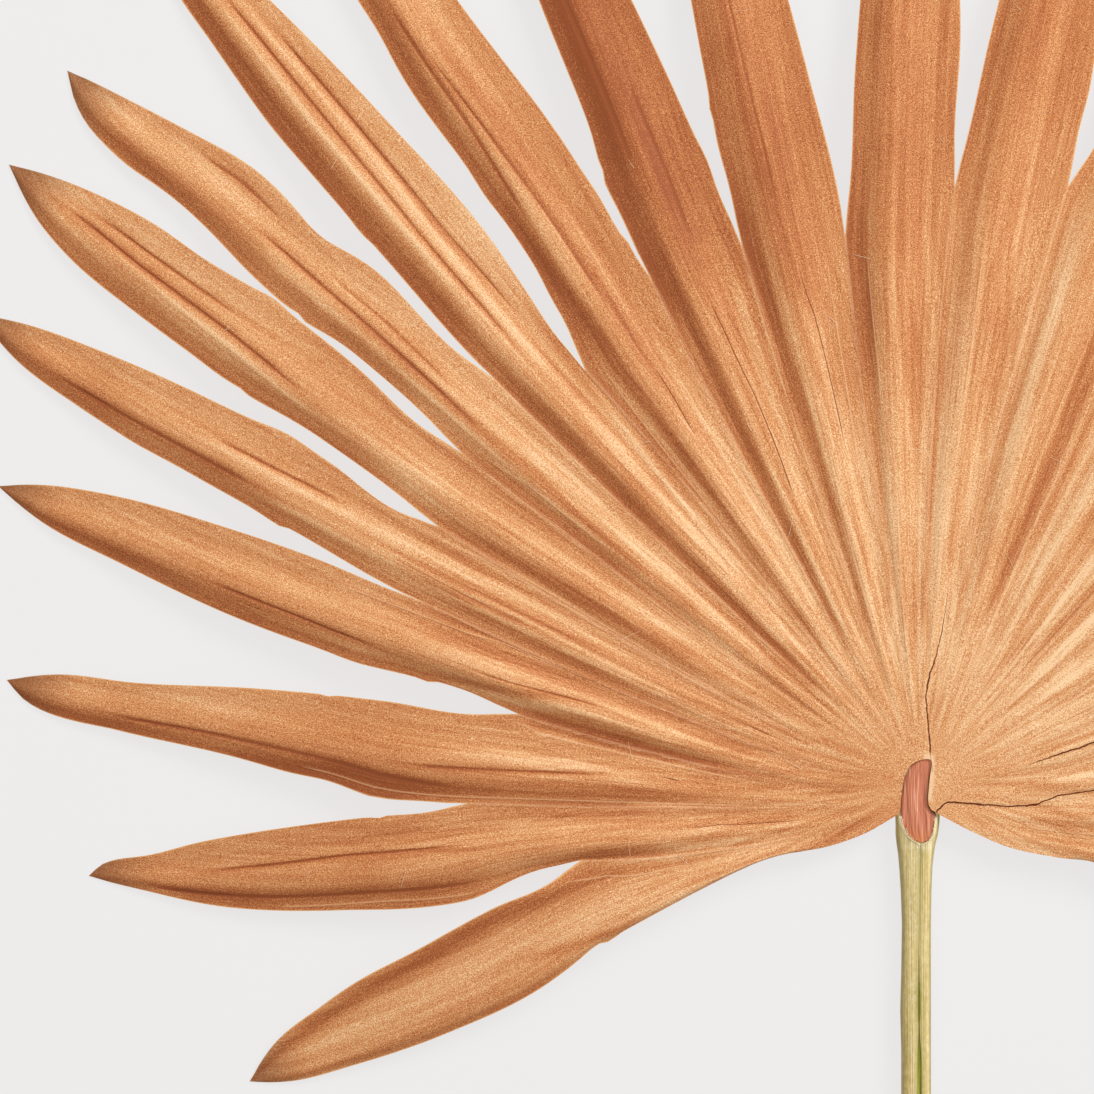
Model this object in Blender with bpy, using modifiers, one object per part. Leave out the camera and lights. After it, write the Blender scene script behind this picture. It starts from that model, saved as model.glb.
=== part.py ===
"""Fan palm leaf, cut with its stalk and laid face up on a surface.

Blender script, metres, +Z up. Nodes: blade, hastula, petiole. All lengths below are
millimetres from the hub, the point where the stalk meets the blade, and all angles are
degrees counter-clockwise from +X seen from above. HUB puts the hub in the row frame.
"""

import math

import bmesh
import bpy
import numpy as np
from mathutils import Vector

MM = 0.001
HUB = (3.85, -58.0)           # hub's place in the row frame, mm

# ---- blade ---------------------------------------------------------------
THICK = 0.6                   # lamina, mm
SEAT = 7.6                    # underside of the blade over the stalk, mm
RIDGE = 0.38                  # where each pleat peaks, share of its width from the left edge
PLEAT = 0.085                 # pleat height, share of the pleat's width
COLUMNS = (0.0, 0.17, RIDGE, 0.68, 1.0)
ROWS_IN = 6                   # rows from the hub to the notches
ROWS_OUT = 9                  # rows from the notches to the tips
STEPS = (0.0, 0.08, 0.25, 0.5, 0.75, 0.9, 1.0)   # stations along a free edge, notch to tip

# tips of the segments, left to right over the top: angle, radius
TIPS = (
    (203.9, 221), (186.3, 252), (173.5, 277), (162.1, 292), (153.5, 317), (145.8, 332),
    (140.1, 335), (131.3, 352), (122.6, 359), (112.8, 357), (102.8, 355), (91.0, 352),
    (80.5, 356), (71.0, 351), (60.8, 357), (51.6, 348), (44.2, 338), (37.6, 330),
    (30.4, 320), (21.6, 294), (10.2, 273), (-2.6, 255), (-19.6, 224),
)
# pleat lines: start beside the hub (x, y), notch (angle, radius), sideways bow
LINES = (
    ((-7.2, -9.0), (206.0, 100.0), 0.0),
    ((-6.7, -8.1), (192.4, 104.7), 3.5),
    ((-6.4, -6.8), (182.3, 136.5), 0.8),
    ((-6.3, -5.2), (170.0, 123.0), 2.7),
    ((-6.1, -3.4), (159.9, 158.7), 2.8),
    ((-6.0, -1.4), (151.9, 164.4), 2.5),
    ((-5.8, 1.0), (144.2, 170.1), 1.2),
    ((-5.5, 3.6), (136.5, 176.4), 0.7),
    ((-4.6, 5.3), (129.1, 159.9), -2.5),
    ((-3.5, 6.6), (118.2, 172.8), 1.1),
    ((-2.2, 7.3), (108.5, 170.1), 1.8),
    ((-0.8, 7.8), (98.0, 166.2), 1.8),
    ((0.5, 8.1), (86.9, 179.4), 2.9),
    ((1.7, 8.2), (76.3, 184.8), 3.1),
    ((2.7, 8.1), (65.7, 172.0), 1.0),
    ((3.0, 6.8), (55.4, 163.0), 0.0),
    ((3.0, 5.2), (48.0, 175.0), -0.7),
    ((2.9, 3.4), (39.8, 170.0), -1.2),
    ((2.8, 1.4), (32.2, 163.0), -2.5),
    ((2.6, -1.0), (24.0, 156.0), -2.8),
    ((2.4, -3.4), (14.3, 126.0), -2.7),
    ((2.3, -5.4), (1.8, 134.0), -0.8),
    ((3.4, -7.4), (-8.5, 107.0), -3.5),
    ((5.4, -9.0), (-22.4, 100.0), 0.0),
)
# the two lowest free edges beside the stalk: x, y
LOW_LEFT = ((-7.2, -9.0), (-18, -15), (-30, -18.9), (-41, -20.2), (-50, -23), (-67, -31.4), (-89.9, -43.8))
LOW_RIGHT = ((5.4, -9.0), (15, -15), (27, -20), (41.4, -21.9), (51.6, -23.2), (68, -29.6), (92.5, -38.1))
# free edges of the segments left of the middle and the two at the middle: angles at the inner
# STEPS, left edge then right edge. The segments right of them mirror the left ones.
EDGES = (
    ((206.5, 207.9, 207.5, 206.2, 205.2), (194.6, 196.1, 198.5, 200.4, 201.9)),
    ((192.3, 193.9, 192.1, 189.7, 187.6), (183.1, 183.4, 184.0, 184.8, 185.4)),
    ((181.8, 180.3, 177.6, 176.1, 175.2), (171.1, 171.2, 171.8, 172.7, 172.8)),
    ((168.4, 167.7, 166.4, 164.5, 163.4), (159.9, 159.6, 159.8, 160.4, 161.2)),
    ((159.4, 158.1, 156.9, 155.8, 154.8), (152.5, 151.5, 151.6, 152.2, 152.8)),
    ((151.0, 150.0, 149.5, 148.5, 147.4), (144.5, 143.6, 143.4, 144.0, 144.9)),
    ((143.4, 142.7, 142.8, 141.7, 141.4), (137.1, 136.9, 137.5, 138.4, 139.4)),
    ((136.3, 135.6, 134.8, 133.7, 132.8), (129.3, 128.4, 128.9, 129.7, 130.3)),
    ((127.5, 126.4, 126.3, 125.2, 124.1), (118.8, 119.2, 120.5, 121.3, 121.9)),
    ((117.9, 116.8, 115.9, 114.8, 114.0), (109.0, 109.6, 110.6, 111.4, 112.0)),
    ((107.9, 107.1, 105.9, 104.8, 103.9), (98.2, 99.1, 100.2, 101.2, 101.8)),
    ((96.8, 95.4, 93.6, 92.5, 91.9), (87.2, 87.1, 88.0, 89.2, 90.0)),
    ((86.0, 84.8, 83.3, 82.2, 81.4), (76.6, 76.8, 77.9, 79.0, 79.7)),
)
# height of the pleat lines over the surface against the share of the way from hub to tip
DOME_AT = (0.0, 0.14, 0.32, 0.5, 0.7, 0.88, 1.0)
DOME_Z = (SEAT, SEAT, 9.4, 10.0, 7.4, 2.8, 0.0)

# ---- hastula: the reddish core in the collar's mouth ------------------------
CORE = (
    (-6.2, -10.2), (-5.8, -4.5), (-5.7, -1.0), (-5.1, 3.4), (-3.0, 6.2), (1.0, 7.6), (2.4, 7.6),
    (2.4, 3.6), (1.8, -5.7), (2.4, -7.5), (4.1, -8.6), (4.1, -13.5), (2.1, -16.6), (-2.7, -16.6),
    (-4.8, -15.0),
)
CORE_LOW, CORE_HIGH = 5.2, 7.9
GAP = 0.35                    # clearance between neighbouring nodes

# ---- petiole: y, centre x, half width, underside, top, groove depth ---------
STALK = (
    (48.0, -1.6, 0.9, 6.0, 7.2, 0.0),
    (30.0, -1.5, 2.2, 4.2, 7.2, 0.0),
    (14.0, -1.3, 4.0, 1.6, 7.2, 0.0),
    (6.0, -1.2, 5.8, 0.5, 7.2, 0.0),
    (-4.0, -1.1, 6.5, 0.0, 7.2, 0.0),
    (-9.7, -1.1, 6.8, 0.0, 7.2, 0.0),
    (-10.1, -1.1, 6.6, 0.0, 8.3, 0.0),
    (-14.0, -1.3, 6.5, 0.0, 8.3, 0.0),
    (-19.0, -1.5, 5.7, 0.0, 7.9, 0.0),
    (-25.0, -1.6, 5.0, 0.0, 7.5, 0.3),
    (-32.0, -1.5, 4.7, 0.0, 7.3, 0.5),
    (-42.0, -1.4, 4.4, 0.0, 7.2, 0.7),
    (-66.0, -1.6, 4.6, 0.0, 7.2, 0.9),
    (-110.0, -1.5, 4.5, 0.0, 7.2, 0.9),
    (-165.0, -1.2, 4.6, 0.0, 7.3, 0.9),
    (-236.0, -0.6, 5.0, 0.0, 7.6, 0.9),
)
GROOVE_X, GROOVE_HALF = 0.12, 0.16     # share of the half width
SECTION_LEFT = (
    (-0.62, 0.97), (-0.90, 0.84), (-1.0, 0.60), (-0.97, 0.38), (-0.78, 0.12), (-0.40, 0.0),
)


def clear_scene():
    for obj in list(bpy.data.objects):
        bpy.data.objects.remove(obj, do_unlink=True)


def material(name, colour, roughness):
    made = bpy.data.materials.new(name)
    made.use_nodes = True
    made.diffuse_color = (*colour, 1.0)
    shader = made.node_tree.nodes["Principled BSDF"]
    shader.inputs["Base Color"].default_value = (*colour, 1.0)
    shader.inputs["Roughness"].default_value = roughness
    return made


def smooth_at(stations, values, at):
    """A smooth curve through (stations, values), read at one station."""
    k = min(max(int(np.searchsorted(stations, at, "right")) - 1, 0), len(stations) - 2)
    x0, x1 = stations[k], stations[k + 1]
    slope = (values[k + 1] - values[k]) / (x1 - x0)
    first = (values[k + 1] - values[k - 1]) / (x1 - stations[k - 1]) if k else slope
    last = (values[k + 2] - values[k]) / (stations[k + 2] - x0) if k + 2 < len(stations) else slope
    f, span = (at - x0) / (x1 - x0), x1 - x0
    return (
        values[k] * (2 * f**3 - 3 * f**2 + 1)
        + first * span * (f**3 - 2 * f**2 + f)
        + values[k + 1] * (3 * f**2 - 2 * f**3)
        + last * span * (f**3 - f**2)
    )


def polar(angle, radius):
    return Vector((radius * math.cos(math.radians(angle)), radius * math.sin(math.radians(angle))))


def edge_angles(segment):
    """Left and right edge angles of a segment at the inner STEPS."""
    if segment < len(EDGES):
        return EDGES[segment]
    twin = len(TIPS) - 1 - segment
    centre, twin_centre = TIPS[segment][0], TIPS[twin][0]
    left, right = EDGES[twin]
    return (
        tuple(centre + twin_centre - a for a in right),
        tuple(centre + twin_centre - a for a in left),
    )


def pleat_line(index, share):
    """A point of a pleat line, from beside the hub (0) to its notch (1)."""
    start, (angle, radius), bow = LINES[index]
    if index in (0, len(LINES) - 1):
        points = LOW_LEFT if index == 0 else LOW_RIGHT
        at = np.linspace(0, 1, len(points))
        return Vector([smooth_at(at, [p[i] for p in points], share) for i in (0, 1)])
    start, end = Vector(start), polar(angle, radius)
    along = (end - start).normalized()
    return start.lerp(end, share) + Vector((-along.y, along.x)) * bow * 4 * share * (1 - share)


def free_edge(segment, side, share):
    """A point of a segment's left (0) or right (1) free edge, from notch (0) to tip (1)."""
    notch, tip = LINES[segment + side][1], TIPS[segment]
    angles = (notch[0], *edge_angles(segment)[side], tip[0])
    return polar(smooth_at(STEPS, angles, share), notch[1] + (tip[1] - notch[1]) * share)


def height(place, width, across):
    """Underside height of the blade at a place, on a pleat of this width."""
    angle = math.degrees(math.atan2(place.y, place.x)) % 360
    angle = angle - 360 if angle > 270 else angle
    turned = [-t[0] for t in TIPS]
    reach = np.interp(-angle, turned, [t[1] for t in TIPS])
    share = min(place.length / reach, 1.0)
    if across < RIDGE:
        shape = math.sin(math.pi / 2 * across / RIDGE)
    else:
        shape = math.cos(math.pi / 2 * (across - RIDGE) / (1 - RIDGE))
    fade = min(max((place.length - 30) / 70, 0.0), 1.0)
    return smooth_at(DOME_AT, DOME_Z, share) + PLEAT * width * shape * fade


def grid(bm, columns, rows, place):
    """Adds a grid of faces and puts each corner where place(column, row) says."""
    made = bmesh.ops.create_grid(bm, x_segments=columns, y_segments=rows, size=1.0)["verts"]
    for vert in made:
        column = round((vert.co.x + 1) / 2 * columns)
        row = round((vert.co.y + 1) / 2 * rows)
        vert.co = Vector(place(column, row)) * MM


def place_object(name, data, look):
    """An object at the hub that shows this mesh or curve."""
    obj = bpy.data.objects.new(name, data)
    obj.location = (HUB[0] * MM, HUB[1] * MM, 0)
    data.materials.append(look)
    bpy.context.scene.collection.objects.link(obj)
    return obj


def finish(bm, name, look):
    bmesh.ops.remove_doubles(bm, verts=bm.verts, dist=1e-6)
    bmesh.ops.recalc_face_normals(bm, faces=bm.faces)
    mesh = bpy.data.meshes.new(name)
    bm.to_mesh(mesh)
    bm.free()
    return place_object(name, mesh, look)


def blade(look):
    bm = bmesh.new()
    for segment in range(len(TIPS)):
        def place(column, row, segment=segment):
            across = COLUMNS[column]
            if row <= ROWS_IN:
                share = (row / ROWS_IN) ** 1.35
                left, right = pleat_line(segment, share), pleat_line(segment + 1, share)
            else:
                share = ((row - ROWS_IN) / ROWS_OUT) ** 0.9
                left, right = free_edge(segment, 0, share), free_edge(segment, 1, share)
            at = left.lerp(right, across)
            high = height(at, (right - left).length, across)
            return (at.x, at.y, high)

        grid(bm, len(COLUMNS) - 1, ROWS_IN + ROWS_OUT, place)
    obj = finish(bm, "blade", look)
    up = sum(p.normal.z for p in obj.data.polygons)
    solid = obj.modifiers.new("lamina", "SOLIDIFY")
    solid.thickness = THICK * MM
    solid.offset = 1.0 if up > 0 else -1.0
    return obj


def outline(points, grow=0.0):
    """The outline moved outward by grow."""
    made = []
    for i, point in enumerate(points):
        before, here, after = Vector(points[i - 1]), Vector(point), Vector(points[(i + 1) % len(points)])
        first, second = (here - before).normalized(), (after - here).normalized()
        normal = (Vector((-first.y, first.x)) + Vector((-second.y, second.x))).normalized()
        made.append(here + normal * grow / max(normal.dot(Vector((-first.y, first.x))), 0.5))
    return made


def slab(name, points, low, high, look):
    """A flat outline raised to a solid between two heights."""
    curve = bpy.data.curves.new(name, "CURVE")
    curve.dimensions = "2D"
    curve.fill_mode = "BOTH"
    curve.extrude = (high - low) / 2 * MM
    line = curve.splines.new("POLY")
    line.points.add(len(points) - 1)
    for target, point in zip(line.points, points):
        target.co = (point[0] * MM, point[1] * MM, 0, 1)
    line.use_cyclic_u = True
    obj = place_object(name, curve, look)
    obj.location.z = (low + high) / 2 * MM
    return obj


def as_mesh(obj, look):
    """The same object with its curve turned into a mesh, welded and facing out."""
    bm = bmesh.new()
    bm.from_mesh(obj.to_mesh())
    name, at = obj.name, obj.location.copy()
    bpy.data.objects.remove(obj, do_unlink=True)
    made = finish(bm, name, look)
    made.location = at
    return made


def hastula(look):
    obj = as_mesh(slab("hastula", outline(CORE), CORE_LOW, CORE_HIGH, look), look)
    edge = obj.modifiers.new("rounded", "BEVEL")
    edge.width = 0.45 * MM
    edge.segments = 2
    edge.limit_method = "ANGLE"
    edge.angle_limit = math.radians(60)
    return obj


def petiole(look):
    section = [(GROOVE_X - GROOVE_HALF, 1.0, 0), *((x, z, 0) for x, z in SECTION_LEFT)]
    section += [(-x, z, 0) for x, z in reversed(SECTION_LEFT)]
    section += [(GROOVE_X + GROOVE_HALF, 1.0, 0), (GROOVE_X, 1.0, 1)]

    def place(column, row):
        y, x, half, low, high, groove = STALK[row]
        across, up, dip = section[column % len(section)]
        return (x + across * half, y, low + (high - low) * up - dip * groove)

    bm = bmesh.new()
    grid(bm, len(section), len(STALK) - 1, place)
    bmesh.ops.remove_doubles(bm, verts=bm.verts, dist=1e-6)
    bmesh.ops.holes_fill(bm, edges=[e for e in bm.edges if e.is_boundary], sides=0)
    obj = finish(bm, "petiole", look)

    cutter = as_mesh(slab("core_space", outline(CORE, GAP), CORE_LOW - GAP, 12.0, look), look)
    cutter.hide_render = True
    cutter.hide_viewport = True
    cut = obj.modifiers.new("mouth", "BOOLEAN")
    cut.operation = "DIFFERENCE"
    cut.solver = "EXACT"
    cut.object = cutter
    return obj


def main():
    clear_scene()
    blade(material("blade", (0.60, 0.29, 0.12), 0.45))
    hastula(material("hastula", (0.60, 0.26, 0.14), 0.6))
    petiole(material("petiole", (0.58, 0.48, 0.25), 0.5))


main()
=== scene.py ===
"""Looks of a dried fan palm leaf: pleated blade, fibrous core, grooved stalk and stray fibres."""

import math
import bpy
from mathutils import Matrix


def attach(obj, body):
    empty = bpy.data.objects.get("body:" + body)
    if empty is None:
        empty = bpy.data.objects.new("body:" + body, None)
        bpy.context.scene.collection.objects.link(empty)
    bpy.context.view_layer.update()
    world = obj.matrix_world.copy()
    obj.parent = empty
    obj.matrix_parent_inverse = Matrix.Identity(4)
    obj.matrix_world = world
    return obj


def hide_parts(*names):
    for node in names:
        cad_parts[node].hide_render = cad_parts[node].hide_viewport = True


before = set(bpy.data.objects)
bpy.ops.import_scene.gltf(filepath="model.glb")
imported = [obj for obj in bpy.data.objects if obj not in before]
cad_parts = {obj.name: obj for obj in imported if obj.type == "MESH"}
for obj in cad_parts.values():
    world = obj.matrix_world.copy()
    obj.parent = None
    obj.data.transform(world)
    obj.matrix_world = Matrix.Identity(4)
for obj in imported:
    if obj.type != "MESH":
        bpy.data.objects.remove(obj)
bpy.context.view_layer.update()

from types import SimpleNamespace

import bpy
import mathutils
import numpy as np
from bpy.props import FloatProperty, FloatVectorProperty, PointerProperty

bl_info = {
    "name": "Fan Palm Leaf",
    "version": (1, 0, 0),
    "blender": (4, 5, 0),
    "location": "3D View > Sidebar > Palm Leaf",
    "description": "Builds a dried fan palm leaf around its packed solids",
    "category": "Add Mesh",
}

MM = 0.001
HUB = np.array((3.85, -58.0, 0.0))   # where the stalk meets the blade, mm

# ---- outline of the blade: millimetres from the hub, degrees counter-clockwise from +X ----
# angle and radius of each segment's tip
TIPS = (
    (203.9, 221), (186.3, 252), (173.5, 277), (162.1, 292), (153.5, 317), (145.8, 332),
    (140.1, 335), (131.3, 352), (122.6, 359), (112.8, 357), (102.8, 355), (91, 352), (80.5, 356),
    (71, 351), (60.8, 357), (51.6, 348), (44.2, 338), (37.6, 330), (30.4, 320), (21.6, 294),
    (10.2, 273), (-2.6, 255), (-19.6, 224),
)
# pleat lines: start beside the hub (x, y), notch (angle, radius), sideways bow
LINES = (
    ((-7.2, -9), (206, 100), 0), ((-6.7, -8.1), (192.4, 104.7), 3.5),
    ((-6.4, -6.8), (182.3, 136.5), 0.8), ((-6.3, -5.2), (170, 123), 2.7),
    ((-6.1, -3.4), (159.9, 158.7), 2.8), ((-6, -1.4), (151.9, 164.4), 2.5),
    ((-5.6, 1), (144.2, 170.1), 1.2), ((-5.1, 3), (136.5, 176.4), 0.7),
    ((-4.3, 4.7), (129.1, 159.9), -2.5), ((-3.3, 5.9), (118.2, 172.8), 1.1),
    ((-2, 6.8), (108.5, 170.1), 1.8), ((-0.6, 7.4), (98, 166.2), 1.8),
    ((0.7, 7.7), (86.9, 179.4), 2.9), ((1.9, 7.8), (76.3, 184.8), 3.1),
    ((2.8, 7.4), (65.7, 172), 1), ((3, 6), (55.4, 163), 0), ((2.8, 4.4), (48, 175), -0.7),
    ((2.5, 2.6), (39.8, 170), -1.2), ((2.3, 0.8), (32.2, 163), -2.5),
    ((2.1, -1.4), (24, 156), -2.8), ((1.9, -3.6), (14.3, 126), -2.7),
    ((2, -5.8), (1.8, 134), -0.8), ((2.8, -7.4), (-8.5, 107), -3.5),
    ((5.4, -9), (-22.4, 100), 0),
)
# the blade's two lowest edges, from the hub to the first notch: x, y
LOW_LEFT = (
    (-7.2, -9), (-18, -15), (-30, -18.9), (-41, -20.2), (-50, -23), (-67, -31.4), (-89.9, -43.8),
)
LOW_RIGHT = (
    (5.4, -9), (15, -14), (27, -19), (41.4, -21.9), (51.6, -23.2), (68, -29.6), (92.5, -38.1),
)
# angles of each segment's left and right free edge at the inner five of these shares of the
# way from notch to tip
STEPS = (0, 0.08, 0.25, 0.5, 0.75, 0.9, 1)
EDGES = (
    ((206.5, 207.9, 207.5, 206.2, 205.2), (194.6, 196.1, 198.5, 200.4, 201.9)),
    ((192.3, 193.9, 192.1, 189.7, 187.6), (183.1, 183.4, 184, 184.8, 185.4)),
    ((181.8, 180.3, 177.6, 176.1, 175.2), (171.1, 171.2, 171.8, 172.7, 172.8)),
    ((168.4, 167.7, 166.4, 164.5, 163.4), (159.9, 159.6, 159.8, 160.4, 161.2)),
    ((159.4, 158.1, 156.9, 155.8, 154.8), (152.5, 151.5, 151.6, 152.2, 152.8)),
    ((151, 150, 149.5, 148.5, 147.4), (144.5, 143.6, 143.4, 144, 144.9)),
    ((143.4, 142.7, 142.8, 141.7, 141.4), (137.1, 136.9, 137.5, 138.4, 139.4)),
    ((136.3, 135.6, 134.8, 133.7, 132.8), (129.3, 128.4, 128.9, 129.7, 130.3)),
    ((127.5, 126.4, 126.3, 125.2, 124.1), (118.8, 119.2, 120.5, 121.3, 121.9)),
    ((117.9, 116.8, 115.9, 114.8, 114), (109, 109.6, 110.6, 111.4, 112)),
    ((107.9, 107.1, 105.9, 104.8, 103.9), (98.2, 99.1, 100.2, 101.2, 101.8)),
    ((96.8, 95.4, 93.6, 92.5, 91.9), (87.2, 87.1, 88, 89.2, 90)),
    ((86, 84.8, 83.3, 82.2, 81.4), (76.6, 76.8, 77.9, 79, 79.7)),
)
# height of the blade's dome in mm at these shares of the way from hub to tips
DOME_AT = (0, 0.14, 0.32, 0.5, 0.7, 0.88, 1)
DOME_Z = (7.6, 7.6, 9.4, 10, 7.4, 2.8, 0)

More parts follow.
